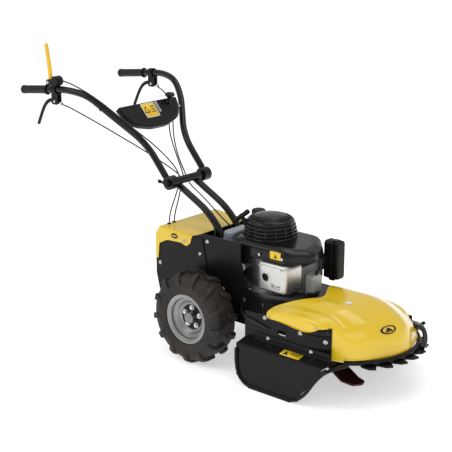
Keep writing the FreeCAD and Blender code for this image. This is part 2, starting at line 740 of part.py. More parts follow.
def cover():
    """Yellow deck cover: high on the right, falling away to the left, with a scalloped flap at each side."""
    body = doc.addObject("PartDesign::Body", "cover_shell")
    sketches = [sketch_in(body, "XZ", band(line, THICK), -y) for y, line in COVER_LINES]
    loft = body.newObject("PartDesign::AdditiveLoft", "cover_loft")
    loft.Profile = sketches[0]
    loft.Sections = sketches[1:]
    loft.Ruled = True
    doc.recompute()
    flap = padded(
        "cover_flap", "XZ",
        COVER_LINES[0][1] + [(500, 238, 40), (440, 236, 60), (354, 244), (340, 234), (333, 242)],
        "sheet_thick", y="-deck_half - 0.5")
    low_flap = padded(
        "cover_low_flap", "XZ", COVER_LINES[-1][1] + [(510, 186), (345, 186, 8), (333, 196)],
        "sheet_thick", y="deck_half + sheet_thick + 0.5")
    notch = cylinder("cover_notch", "engine_x + 97", 200, "engine_x", 0, 160)
    finish(cut("cover", fuse("cover_blank", body, flap, low_flap), notch), "front_cover")


def blade_parts():
    """Blade spindle in its flanged housing, with pulley above the pan and the bar blade below."""
    housing = fuse("spindle_housing_blank",
                   cylinder("spindle_flange", 55, 6, "spindle_x", 0, "pan_height - 6"),
                   cylinder("spindle_tube", 30, 106, "spindle_x", 0, 97))
    bore = cylinder("spindle_bore", "spindle_radius + running_gap", 130, "spindle_x", 0, 80)
    finish(cut("spindle_housing_bored", housing, bore), "spindle_housing")
    shaft = cylinder("spindle_shaft", "spindle_radius", 171, "spindle_x", 0, "blade_height + blade_thick")
    hub = cylinder("blade_hub", 36, 14, "spindle_x", 0, "blade_height + blade_thick")
    finish(pulley("blade_pulley_form", "blade_pulley_radius", "blade_belt_height", "spindle_radius", "spindle_x"),
           "blade_pulley")
    reach = size("blade_radius")
    tip = [(232, -37), (reach - 4, -14), (reach - 2, 18, 6), (262, 37, 14), (226, 30, 30)]
    outline = tip + [(-x, -y, *rest) for x, y, *rest in tip]
    bar = padded("blade_bar", "XY", outline, "blade_thick", "spindle_x", 0, "blade_height",
                 Rotation(Vector(0, 0, 1), size("blade_angle")))
    finish(bar, "blade")
    nut = doc.addObject("Part::Prism", "blade_nut_hex")
    nut.Polygon = 6
    bind(nut, Circumradius=17, Height=12)
    place(nut, "spindle_x", 0, "blade_height - 12")
    finish(group("spindle_set", fuse("spindle", shaft, hub), nut), "blade_spindle")


# ---------------------------------------------------------------- engine
def engine_parts():
    """Vertical-shaft engine: crankcase, finned cylinder, shroud, recoil dome, muffler, tank and air cleaner."""
    inner = INSIDE - THICK
    plate = box("engine_plate_top_sheet", 430, 2 * inner, "sheet_thick", 0, -inner, "engine_plate_top - sheet_thick")
    fold = box("engine_plate_fold", 190, "sheet_thick", "engine_plate_top - 200.3", 240.5, -inner, 200.3)
    crank_hole = cylinder("crank_hole", 30, 40, "engine_x", 0, 240)
    pins = [cylinder(f"idler_pin{i}", "clamp_bolt_radius", high - low, x, y, low)
            for i, (x, y, low, high) in enumerate((BLADE_IDLER_PIN + (216, 251), DRIVE_IDLER_PIN + (228, 251)))]
    sheets = fuse("engine_plate_sheets", plate, fold, reflected(fold, "engine_plate_fold_left"))
    finish(fuse("engine_bed", cut("engine_plate_cut", sheets, crank_hole), *pins), "engine_plate")

    flange = padded(
        "crankcase_flange", "XY",
        [(62, -66, 25), (92, -112, 30), (215, -118, 25), (326, -76, 30), (334, 60, 30), (230, 114, 30), (82, 104, 30)],
        12, z="engine_plate_top")
    barrel = cylinder("crankcase_barrel", 84, 122, "engine_x", 0, "engine_plate_top + 12")
    neck = box("crankcase_neck", 100, 100, 96, "engine_x", -50, 272)
    bore = cylinder("crankcase_bore", "crank_radius + running_gap", 160, "engine_x", 0, 245)
    filler = cylinder("filler_stub", 12, 40, 119, -73, 344, "-Y")
    chamber = cylinder("crank_chamber", 74, 114, "engine_x", 0, "engine_plate_top + 8")
    finish(cut("crankcase_bored", fuse("crankcase_blank", flange, barrel, neck, filler), bore, chamber), "crankcase")

    core = cylinder("cylinder_core", 38, 75, 253, 0, 322, "X")
    head = box("cylinder_head", 14, 88, 92, 314, -42, 276)
    fins = [box(f"cylinder_fin{i}", 3, 96, 100, 258 + 9 * i, -46, 272) for i in range(6)]
    finish(fuse("cylinder_whole", core, head, *fins), "cylinder")
    valve = padded("valve_cover_form", "YZ", [(-22, 268, 9), (36, 268, 9), (36, 338, 9), (-22, 338, 9)], 34, 328)
    finish(valve, "valve_cover")

    outline = [(50, -120, 60), (322, -120, 70), (376, -36, 60), (352, 46, 45), (290, 118, 50), (50, 118, 60)]
    shroud = padded("shroud_form", "XY", outline, "shroud_top - shroud_low", z="shroud_low")
    top = size("shroud_top") - size("shroud_low")
    rounded(shroud, 14, lambda edge: edge.BoundBox.ZMin > top - 0.01)
    inner = padded(
        "shroud_hollow", "XY",
        [(53, -117, 57), (320, -117, 67), (372.5, -35, 57), (349, 44.5, 42), (288.5, 115, 47), (53, 115, 57)],
        "shroud_top - shroud_low - 13", z="shroud_low - 10")
    opening = cylinder("shroud_opening", 86, 40, "engine_x", 0, "shroud_top - 30")
    finish(cut("shroud_shell", shroud, inner, opening), "engine_shroud")

    low = size("shroud_top")
    radius = size("dome_radius")
    dome = revolved(
        "dome_form",
        [(radius, low), (radius - 2, low + 34, 16), (radius - 14, low + 62, 10), (62, size("dome_top") - 4, 12),
         (0, size("dome_top")), (0, size("dome_top") - 3), (61, size("dome_top") - 7, 9),
         (radius - 17, low + 59, 7), (radius - 5, low + 33, 13), (radius - 3, low)],
        "engine_x", 0, 0)
    guide = doc.addObject("Part::Cylinder", "rope_guide")
    bind(guide, Radius=9, Height=14)
    way = Rotation(Vector(0, 0, 1), ROPE_WAY)
    guide_spot = GRIP_SPOT - ROPE_WAY * 26
    place(guide, guide_spot.x, guide_spot.y, guide_spot.z, way)
    finish(fuse("dome", dome, guide), "recoil_dome")
    flywheel = cut("flywheel_disc", cylinder("flywheel_rim", 80, 22, "engine_x", 0, 397),
                   cylinder("flywheel_bore", "crank_radius + running_gap", 40, "engine_x", 0, 390))
    finish(flywheel, "flywheel")
    finish(cylinder("crank", "crank_radius", 232, "engine_x", 0, 198), "crankshaft")
    finish(double_pulley(), "engine_pulley")

    tank = padded("tank_form", "XY", [(-3, -80, 14), (44, -80, 14), (44, 105, 14), (-3, 105, 14)], 56, z=388)
    rounded(tank, 9, lambda edge: edge.BoundBox.ZMin > 55.9 or edge.BoundBox.ZMax < 0.1)
    neck = cylinder("tank_neck", 17, 43.5, *FUEL_CAP, 443)
    tank_room = box("tank_room", 42, 180, 51, -0.5, -77.5, 390.5)
    neck_room = cylinder("tank_neck_room", 14, 60, *FUEL_CAP, 430)
    finish(cut("tank", fuse("tank_blank", tank, neck), tank_room, neck_room), "fuel_tank")
    cap = revolved(
        "fuel_cap_form",
        [(0, 14), (0, 18), (24, 18, 4), (26, 0, 2), (22, 0), (21, 10), (8, 14)], *FUEL_CAP, 476)
    finish(cap, "fuel_cap")

    box_body = padded("muffler_form", "XZ", [(230, 296, 14), (310, 296, 14), (310, 378, 14), (230, 378, 14)], 42, y=-64)
    room = box("muffler_room", 76, 38, 78, 232, -104, 298)
    finish(cut("muffler_shell", box_body, room), "muffler")
    guard = padded("guard_form", "XZ", [(206, 287, 12), (332, 287, 12), (332, 389, 16), (206, 389, 12)], 84, y=-50)
    rounded(guard, 9, lambda edge: edge.BoundBox.YMax < -83.9)
    inner = padded("guard_hollow", "XZ", [(208, 289, 10), (330, 289, 10), (330, 387, 14), (208, 387, 10)], 83, y=-49)
    hole = cylinder("exhaust_hole", 13, 20, EXHAUST[0], -140, EXHAUST[1], "Y")
    relief = cylinder("guard_relief", 86, 140, "engine_x", 0, 270)
    finish(cut("guard_shell", guard, inner, hole, relief), "muffler_guard")

    cleaner = padded("cleaner_form", "XZ", [(324, 300, 14), (384, 300, 14), (384, 437, 14), (324, 437, 14)], 46, y=130)
    rounded(cleaner, 8, lambda edge: edge.BoundBox.YMin > -0.1)
    room = box("cleaner_room", 54, 38, 129, 327, 88, 304)
    finish(cut("cleaner_shell", cleaner, room), "air_cleaner")
    carb = fuse(
        "carburettor_blank",
        box("carburettor_block", 34, 30, 44, 289, 62, 330),
        cylinder("carburettor_bowl", 15, 24, 308, 77, 306),
        cylinder("carburettor_throat", 12, 20, 308, 50.3, 350, "Y"))
    finish(carb, "carburettor")
    grip = box("oil_cap_grip", 8, 10, 26, 115, -133, 331)
    finish(fuse("oil_cap_form", cylinder("oil_cap_disc", 17, 10, 119, -113.3, 344, "-Y"), grip), "oil_cap")

    bar_way = Rotation(Vector(0, 0, 1), Vector(0.8, 0, 0.6))
    start = GRIP_SPOT - Vector(0.8, 0, 0.6) * 38
    bar = doc.addObject("Part::Cylinder", "starter_bar")
    bind(bar, Radius=9, Height=76)
    place(bar, start.x, start.y, start.z, bar_way)
    collar = doc.addObject("Part::Cylinder", "starter_collar")
    bind(collar, Radius=6, Height=11)
    spot = GRIP_SPOT - ROPE_WAY * 11.5
    place(collar, spot.x, spot.y, spot.z, way)
    finish(fuse("starter_handle", bar, collar), "starter_grip")


def double_pulley():
    """Engine pulley with one groove for the blade belt and one above it for the drive belt."""
    blank = cylinder("engine_pulley_drum", "crank_pulley_radius", 36, "engine_x", 0, 206)
    rims = [cylinder(f"engine_pulley_rim{i}", "crank_pulley_radius + belt_thick + 1", 3, "engine_x", 0, z)
            for i, z in enumerate((206, 223, 239.2))]
    bore = cylinder("engine_pulley_bore", "crank_radius + running_gap", 60, "engine_x", 0, 195)
    return cut("engine_pulley_turned", fuse("engine_pulley_blank", blank, *rims), bore)


# ---------------------------------------------------------------- handlebar
def handle_parts():
    """Fixed column with its clamp, the two swept handlebars, grips and console tray."""
    path = [(-6, -48, 325), (-37, -48, 428), (-100, -48, 490), (-252, -48, 569)]
    column = tube("column_tube", path, "tube_radius", "tube_bore")
    inner = INSIDE - THICK
    cross = cylinder("column_cross", 10, 2 * inner, -13, -inner, 345, "Y")
    core = cylinder("clamp_core", 15, 144, "tilt_x", -72, "tilt_height", "Y")
    disc = cylinder("clamp_disc", "clamp_radius", 17, "tilt_x", -89, "tilt_height", "Y")
    bore = cylinder("clamp_bore", "clamp_bolt_radius + running_gap", 200, "tilt_x", -100, "tilt_height", "Y")
    blank = fuse("column_blank", column, reflected(column, "column_tube_left"), cross, core, disc,
                 reflected(disc, "clamp_disc_left"))
    finish(cut("column", blank, bore), "handle_column")

    ear = cylinder("ear_disc", "clamp_radius", 16, "tilt_x", -105.3, "tilt_height", "Y")
    way = Vector(-0.6585, 0, 0.7526)
    plugs = []
    for name, radius, start, height in (("ear_neck", 7.5, 18, 16), ("ear_plug", "tube_bore", 25.8, 36)):
        plug = doc.addObject("Part::Cylinder", name)
        bind(plug, Radius=radius, Height=height)
        spot = TILT + Vector(0, -97.3, 0) + way * start
        plugs.append(place(plug, spot.x, spot.y, spot.z, Rotation(Vector(0, 0, 1), way)))
    ear_bore = cylinder("ear_bore", "clamp_bolt_radius + running_gap", 40, "tilt_x", -115, "tilt_height", "Y")
    points = [TUBE_START, (-352, -98, 708), (-455, -195, 828), (-520, -229, 885), HANDLE_BEND, HANDLE_END]
    bar = tube("handlebar_tube", points, "tube_radius", "tube_bore")
    right = cut("handlebar", fuse("handlebar_blank", ear, *plugs, bar), ear_bore)
    mirrored(finish(right, "handlebar_right"), "handlebar_left")

    bolt = cylinder("clamp_bolt_shank", "clamp_bolt_radius", 216, "tilt_x", -110, "tilt_height", "Y")
    head = doc.addObject("Part::Prism", "clamp_bolt_hex")
    head.Polygon = 6
    bind(head, Circumradius=9, Height=7)
    place(head, "tilt_x", 106, "tilt_height", ALONG["Y"])
    knob = cylinder("clamp_knob", 13, 12, "tilt_x", -106, "tilt_height", "-Y")
    arm = cylinder("clamp_knob_arm", 4.5, 34, "tilt_x", -112, "tilt_height", "X")
    arm.Placement.Rotation = Rotation(Vector(0, 0, 1), Vector(-1, 0, 0.1))
    finish(fuse("clamp_fastener", bolt, head, knob, arm), "clamp_bolt")

    length = size("grip_length")
    grip = revolved(
        "grip_form",
        [(12.5, 0), (20, 0, 2), (20, 6, 2), (size("grip_radius") - 1, 10), (size("grip_radius"), 18),
         (size("grip_radius"), length - 8, 4), (size("grip_radius") + 1.5, length - 6, 2),
         (size("grip_radius") + 1.5, length, 3), (0, length), (0, length - 4), (12.5, length - 4)])
    start = HANDLE_END - GRIP_WAY * (length - 4)
    place(grip, start.x, start.y, start.z, Rotation(Vector(0, 0, 1), GRIP_WAY))
    finish(group("grip_pair", grip, reflected(grip, "grip_left")), "grips")

    slope = Rotation(Vector(0, 1, 0), 49.5)
    corners = [(0, -153, 6), (40, -142, 40), (84, -112, 50), (104, -40, 120), (104, 40, 120), (84, 112, 50),
               (40, 142, 40), (0, 153, 6)]
    inner = [(3, -150, 4), (40, -139, 38), (82, -110, 48), (101, -40, 118), (101, 40, 118), (82, 110, 48),
             (40, 139, 38), (3, 150, 4)]
    normal = slope.multVec(Vector(0, 0, 1))
    low = Vector(-442, 0, 840) - normal * 22
    deep = Vector(-442, 0, 840) - normal * 30
    tray = padded("tray", "XY", corners, 22, low.x, 0, low.z, slope)
    hollow = padded("tray_hollow", "XY", inner, 27.5, deep.x, 0, deep.z, slope)
    tab_spot = low + slope.multVec(Vector(34, 0, 14))
    tab = box("tray_tab", 16, 20, 4, tab_spot.x, -156, tab_spot.z)
    tab.Placement.Rotation = slope
    knob_hole = cylinder("tray_knob_hole", 5, 80, KNOB_SPOT.x, KNOB_SPOT.y, KNOB_SPOT.z - 70)
    finish(cut("console", fuse("tray_blank", cut("tray_shell", tray, hollow), tab, reflected(tab, "tray_tab_left")),
               knob_hole), "console_tray")

    stem = cylinder("knob_stem", 4, 62, KNOB_SPOT.x, KNOB_SPOT.y, KNOB_SPOT.z - 50)
    top = revolved("knob_top", [(0, 8), (12, 8, 4), (19, 14, 3), (17, 22, 6), (0, 26)], KNOB_SPOT.x, KNOB_SPOT.y,
                   KNOB_SPOT.z)
    finish(fuse("selector", stem, top), "selector_knob")


def control_parts():
    """Lever brackets clamped below the handlebars, clutch levers, and the safety lever in its housing."""
    x = size("lever_x")
    middle = HANDLE_BEND + GRIP_WAY * ((HANDLE_BEND.x - x) / -GRIP_WAY.x)
    along = Rotation(Vector(0, 0, 1), GRIP_WAY)
    ring = doc.addObject("Part::Cylinder", "bracket_ring")
    bind(ring, Radius=18, Height=24)
    spot = middle - GRIP_WAY * 9
    place(ring, spot.x, spot.y, spot.z, along)
    bore = doc.addObject("Part::Cylinder", "bracket_bore")
    bind(bore, Radius="tube_radius + running_gap", Height=80)
    spot = middle - GRIP_WAY * 40
    place(bore, spot.x, spot.y, spot.z, along)
    block = box("bracket_block", 33, 22, 44, "lever_x - 16.5", "-handle_half - 11", 838)
    slot = box("bracket_slot", 60, 11, 42, "lever_x - 30", "-handle_half - 5.5", 832)
    pin = cylinder("bracket_pin", 4, 22, "lever_x", "-handle_half - 11", "lever_pivot_height", "Y")
    bracket = fuse("bracket", cut("bracket_open", fuse("bracket_blank", ring, block), slot, bore), pin)

    hub_x = size("safety_x")
    round_box = cylinder("switch_box", 19, 31, "safety_x + 35", "-handle_half - 15.5", "safety_height + 7", "Y")
    cheek = cylinder("safety_cheek", 11, 31, "safety_x", "-handle_half - 15.5", "safety_height", "Y")
    link = box("safety_link", 40, 31, 12, "safety_x - 6", "-handle_half - 15.5", "safety_height - 11")
    lever_slot = box("safety_slot", 46, 11, 60, "safety_x - 30", "-handle_half - 5.5", "safety_height - 12.5")
    safety_pin = cylinder("safety_pin", 4, 31, "safety_x", "-handle_half - 15.5", "safety_height", "Y")
    housing = cut("safety_open", fuse("safety_blank", round_box, cheek, link), lever_slot)
    tube_room = doc.addObject("Part::Cylinder", "safety_tube_room")
    bind(tube_room, Radius="tube_radius", Height=120)
    spot = middle - GRIP_WAY * 60
    place(tube_room, spot.x, spot.y, spot.z, along)
    right = cut("right_control", fuse("right_control_blank", bracket, housing, safety_pin), tube_room)
    finish(right, "right_control")
    finish(reflected(bracket, "left_bracket"), "left_control")

    outline = [(x + 9, 841, 7), (x + 9, 859, 7), (-688, 861, 16), (-738, 834, 55), (-775, 754, 5), (-764, 748, 5),
               (-725, 824, 45), (-684, 843, 16)]
    blank = padded("lever_blade", "XZ", outline, 9, y=-HANDLE, symmetric=True)
    hole = cylinder("lever_hole", 4.05, 40, "lever_x", "-handle_half - 20", "lever_pivot_height", "Y")
    mirrored(finish(cut("clutch_lever", blank, hole), "clutch_lever_right"), "clutch_lever_left")

    foot = size("safety_height") - 8
    safety = padded(
        "safety_blade", "XZ",
        [(hub_x + 8, foot, 7), (hub_x + 8, foot + 26, 30), (hub_x - 11, 1058, 4), (hub_x - 24, 1058, 4),
         (hub_x - 11, foot + 24, 10), (hub_x - 9, foot, 7)], 10, y=-HANDLE, symmetric=True)
    safety_hole = cylinder("safety_hole", 4.05, 40, "safety_x", "-handle_half - 20", "safety_height", "Y")
    finish(cut("safety_lever_form", safety, safety_hole), "safety_lever")


# ---------------------------------------------------------------- cables
def cable_parts():
    """Bowden cables: one run from each control to the clamp, and on from the clamp to what it works."""
    upper = {
        "safety": [(-636, -252, 930), (-600, -250, 926), (-545, -240, 908), (-490, -222, 880), (-440, -190, 836),
                   (-386, -140, 772), (-330, -96, 716), (-292, -60, 664), (-268, -34, 620), (-262, -24, 589.5)],
        "clutch_right": [(-646, -252, 842), (-610, -250, 838), (-560, -240, 820), (-500, -205, 784),
                         (-440, -160, 740), (-380, -112, 694), (-330, -70, 652), (-290, -34, 614),
                         (-268, -14, 589.5)],
        "clutch_left": [(-646, 252, 842), (-606, 246, 834), (-556, 226, 812), (-500, 190, 782), (-448, 140, 746),
                        (-400, 92, 704), (-350, 56, 656), (-306, 34, 616), (-274, 22, 589.5)],
        "selector": [(-424, 100, 784), (-414, 84, 760), (-392, 62, 730), (-356, 36, 700), (-316, 16, 660),
                     (-286, 6, 622), (-268, 4, 589.5)],
    }
    lower = {
        "safety": [(-262, -24, 576), (-256, -38, 546), (-246, -70, 508), (-238, -98, 474), (-230, -114, 440),
                   (-230, -114, 404)],
        "selector": [(-268, 4, 576), (-262, -16, 546), (-246, -46, 508), (-238, -70, 474), (-232, -86, 440),
                     (-232, -86, 404)],
        "clutch_right": [(-268, -14, 576), (-246, -26, 546), (-190, -28, 512), (-112, -28, 458), (-66, -40, 420),
                         (-54, -68, 388), (-44, -104, 330), (-36, -122, 272), (4, -127, 240), (106, -127, 240),
                         (150, -134, 238), (218, -243, 230), (326, -243, 208), (352, -232, 204), (366, -210, 204)],
        "clutch_left": [(-274, 22, 576), (-250, 26, 546), (-190, 28, 512), (-112, 28, 458), (-66, 40, 420),
                        (-54, 68, 388), (-44, 96, 330), (-36, 108, 272)],
    }
    for label, routes in (("cables_upper", upper), ("cables_lower", lower)):
        runs = [tube(f"{label}_{name}", points, "cable_radius", report=True) for name, points in routes.items()]
        finish(group(f"{label}_set", *runs), label)


# ---------------------------------------------------------------- fasteners
def fasteners():
    """Domed bolts of the side plates, uprights, deck and wings, both sides."""
    sets = {}
    for label, spots, face in (("case", CASE_BOLTS, CASE), ("upright", UPRIGHT_BOLTS, CASE - THICK - size("gap")),
                               ("deck", DECK_BOLTS, DECK), ("wing", WING_BOLTS, DECK + THICK + 0.6),
                               ("low_deck", LEFT_DECK_BOLTS, DECK)):
        sets[label] = [side_bolt(f"{label}_bolt{i}", x, z, face) for i, (x, z) in enumerate(spots)]
    height, turn = CORNER_BOLT
    corner = about_front(side_bolt("corner_bolt", FRONT, height, DECK), turn)
    both = sets["case"] + sets["upright"] + sets["wing"]
    finish(group("bolt_set", *both, *mirror_all(both), *sets["deck"], corner, *mirror_all(sets["low_deck"])), "body_bolts")


transmission_body()
wheel_parts()
gearbox()
belts_and_idlers()
deck_parts()
cover()
blade_parts()
engine_parts()
handle_parts()
control_parts()
cable_parts()
fasteners()
doc.recompute()

# ---------------------------------------------------------------- check and write
failed = [f"{item.Label} {item.State}" for item in doc.Objects if {"Invalid", "Error"} & set(item.State)]
if failed:
    raise ValueError(f"failed objects: {failed}")
poor = [item.Label for item in finished
        if item.Shape.isNull() or not item.Shape.isValid() or not item.Shape.Solids]
if poor:
    raise ValueError(f"not valid solids: {poor}")
for item in finished:
    item.Shape.exportStep(f"parts/{item.Label}.step")
whole = Part.makeCompound([item.Shape for item in finished]).BoundBox
print(len(finished), "nodes; box", [round(v, 1) for v in (whole.XMin, whole.XMax, whole.YMin, whole.YMax,
                                                          whole.ZMin, whole.ZMax)])
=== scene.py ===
"""Looks of the walk-behind brush mower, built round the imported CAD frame."""
import math

import bmesh
import bpy
import numpy as np
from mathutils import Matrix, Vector


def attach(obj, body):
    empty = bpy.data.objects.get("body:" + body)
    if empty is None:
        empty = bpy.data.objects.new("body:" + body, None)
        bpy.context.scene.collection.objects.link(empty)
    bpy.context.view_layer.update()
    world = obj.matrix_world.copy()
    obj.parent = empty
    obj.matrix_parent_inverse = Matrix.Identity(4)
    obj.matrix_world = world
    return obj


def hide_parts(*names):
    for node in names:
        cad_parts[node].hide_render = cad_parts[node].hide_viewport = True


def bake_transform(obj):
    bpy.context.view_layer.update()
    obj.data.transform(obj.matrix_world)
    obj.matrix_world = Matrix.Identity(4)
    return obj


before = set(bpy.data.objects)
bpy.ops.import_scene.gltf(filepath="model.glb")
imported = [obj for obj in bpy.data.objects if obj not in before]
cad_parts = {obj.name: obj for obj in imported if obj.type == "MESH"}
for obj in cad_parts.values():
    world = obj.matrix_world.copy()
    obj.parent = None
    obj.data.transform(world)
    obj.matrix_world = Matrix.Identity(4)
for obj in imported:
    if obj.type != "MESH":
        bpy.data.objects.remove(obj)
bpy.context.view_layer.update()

# Places in mm, with x = 0 at the wheel axle, y to the left and z up from the ground
AXLE_X = 45.0          # the wheel axle ahead of the frame's origin
AXLE_Z = 165.0
TYRE_MID = 228.0       # middle of each tyre, out from the machine's middle
CRANK_X = 153.0        # the engine's upright crankshaft
DECK_X = 495.0         # middle of the deck's round front
DECK_SIDE = 235.2      # outer face of the deck's side plate
CLAMP = Vector((-242, 0, 580))      # the handlebar's tilt joint
SIDES = (("right", -1), ("left", 1))


def spot(x, y, z):
    """A point given in millimetres with the axle at x = 0, as metres in the row frame."""
    return Vector(((x + AXLE_X) / 1000, y / 1000, z / 1000))


# ---------------------------------------------------------------- camera first
CAMERA_AZIMUTH = math.radians(41.3)
CAMERA_DIP = math.radians(16.4)
camera_data = bpy.data.cameras.new("camera")
camera_data.sensor_width = 36
camera_data.lens = 98.76
camera_data.clip_end = 60
camera = bpy.data.objects.new("camera", camera_data)
bpy.context.scene.collection.objects.link(camera)
camera.location = spot(2783, -3230, 1698)
look = Vector((-math.sin(CAMERA_AZIMUTH) * math.cos(CAMERA_DIP),
               math.cos(CAMERA_AZIMUTH) * math.cos(CAMERA_DIP), -math.sin(CAMERA_DIP)))
camera.rotation_mode = "QUATERNION"
camera.rotation_quaternion = look.to_track_quat("-Z", "Y")
bpy.context.scene.camera = camera


# ---------------------------------------------------------------- materials
class Graph:
    """A material's node tree with short calls for the nodes used here."""

    def __init__(self, name):
        self.material = bpy.data.materials.new(name)
        self.material.use_nodes = True
        self.tree = self.material.node_tree
        self.shader = self.tree.nodes["Principled BSDF"]
        self.coords = self.tree.nodes.new("ShaderNodeTexCoord").outputs["Object"]

    def link(self, source, target):
        self.tree.links.new(source, target)

    def noise(self, scale, detail=4.0):
        node = self.tree.nodes.new("ShaderNodeTexNoise")
        node.inputs["Scale"].default_value = scale
        node.inputs["Detail"].default_value = detail
        node.inputs["Roughness"].default_value = 0.55
        self.link(self.coords, node.inputs["Vector"])
        return node.outputs["Fac"]

    def span(self, value, low, high, to_low, to_high):
        """A value moved from one range to another, clamped."""
        node = self.tree.nodes.new("ShaderNodeMapRange")
        for name, number in (("From Min", low), ("From Max", high), ("To Min", to_low), ("To Max", to_high)):
            node.inputs[name].default_value = number
        self.link(value, node.inputs["Value"])
        return node.outputs["Result"]

    def mix(self, factor, first, second):
        """A blend of two colours, each a socket or three numbers."""
        node = self.tree.nodes.new("ShaderNodeMix")
        node.data_type = "RGBA"
        self.link(factor, node.inputs["Factor"])
        for socket, colour in (("A", first), ("B", second)):
            target = next(i for i in node.inputs if i.name == socket and i.type == "RGBA")
            if isinstance(colour, (tuple, list)):
                target.default_value = (*colour, 1)
            else:
                self.link(colour, target)
        return next(o for o in node.outputs if o.type == "RGBA")

    def bump(self, height, strength, distance):
        node = self.tree.nodes.new("ShaderNodeBump")
        node.inputs["Strength"].default_value = strength
        node.inputs["Distance"].default_value = distance
        self.link(height, node.inputs["Height"])
        return node.outputs["Normal"]

    def edges(self):
        """How far a point stands out on a convex edge, 0 to 1."""
        geometry = self.tree.nodes.new("ShaderNodeNewGeometry")
        return self.span(geometry.outputs["Pointiness"], 0.52, 0.6, 0, 1)

    def times(self, first, second):
        node = self.tree.nodes.new("ShaderNodeMath")
        node.operation = "MULTIPLY"
        for socket, value in zip(node.inputs, (first, second)):
            if isinstance(value, (int, float)):
                socket.default_value = value
            else:
                self.link(value, socket)
        return node.outputs[0]


def shade(colour, factor):
    """A colour made lighter or darker."""
    return tuple(min(1.0, c * factor) for c in colour)


def finish_of(name, colour, rough, metal=0.0, coat=0.0, cloud=6.0, cloud_depth=0.12, grain=400.0,
              grain_depth=0.1, grain_height=0.0002, rough_spread=0.08, wear=None, dust=None, shine=0.5):
    """A procedural surface: cloudy tone, fine grain in colour, roughness and bump, worn edges and dust."""
    graph = Graph(name)
    inputs = graph.shader.inputs
    inputs["Metallic"].default_value = metal
    inputs["Specular IOR Level"].default_value = shine
    if coat:
        inputs["Coat Weight"].default_value = coat
        inputs["Coat Roughness"].default_value = 0.08
    clouds = graph.span(graph.noise(cloud, 3.0), 0.3, 0.7, 0, 1)
    tone = graph.mix(clouds, shade(colour, 1 - cloud_depth), shade(colour, 1 + cloud_depth))
    fine = graph.noise(grain, 3.0)
    speck = graph.mix(graph.span(fine, 0.35, 0.65, 0, grain_depth * 2), tone, shade(colour, 0.55))
    if wear:
        patches = graph.times(graph.edges(), graph.span(graph.noise(60, 4.0), 0.45, 0.6, 0, 0.7))
        speck = graph.mix(patches, speck, wear)
    if dust:
        dust_colour, dust_most = dust
        drift = graph.span(graph.noise(9, 5.0), 0.42, 0.72, 0, dust_most)
        speck = graph.mix(drift, speck, dust_colour)
    graph.link(speck, inputs["Base Color"])
    smooth, dull = max(0.03, rough - rough_spread), min(1.0, rough + rough_spread)
    graph.link(graph.span(graph.noise(cloud * 5, 4.0), 0.3, 0.7, smooth, dull), inputs["Roughness"])
    graph.link(graph.bump(fine, 0.6, grain_height), inputs["Normal"])
    return graph.material


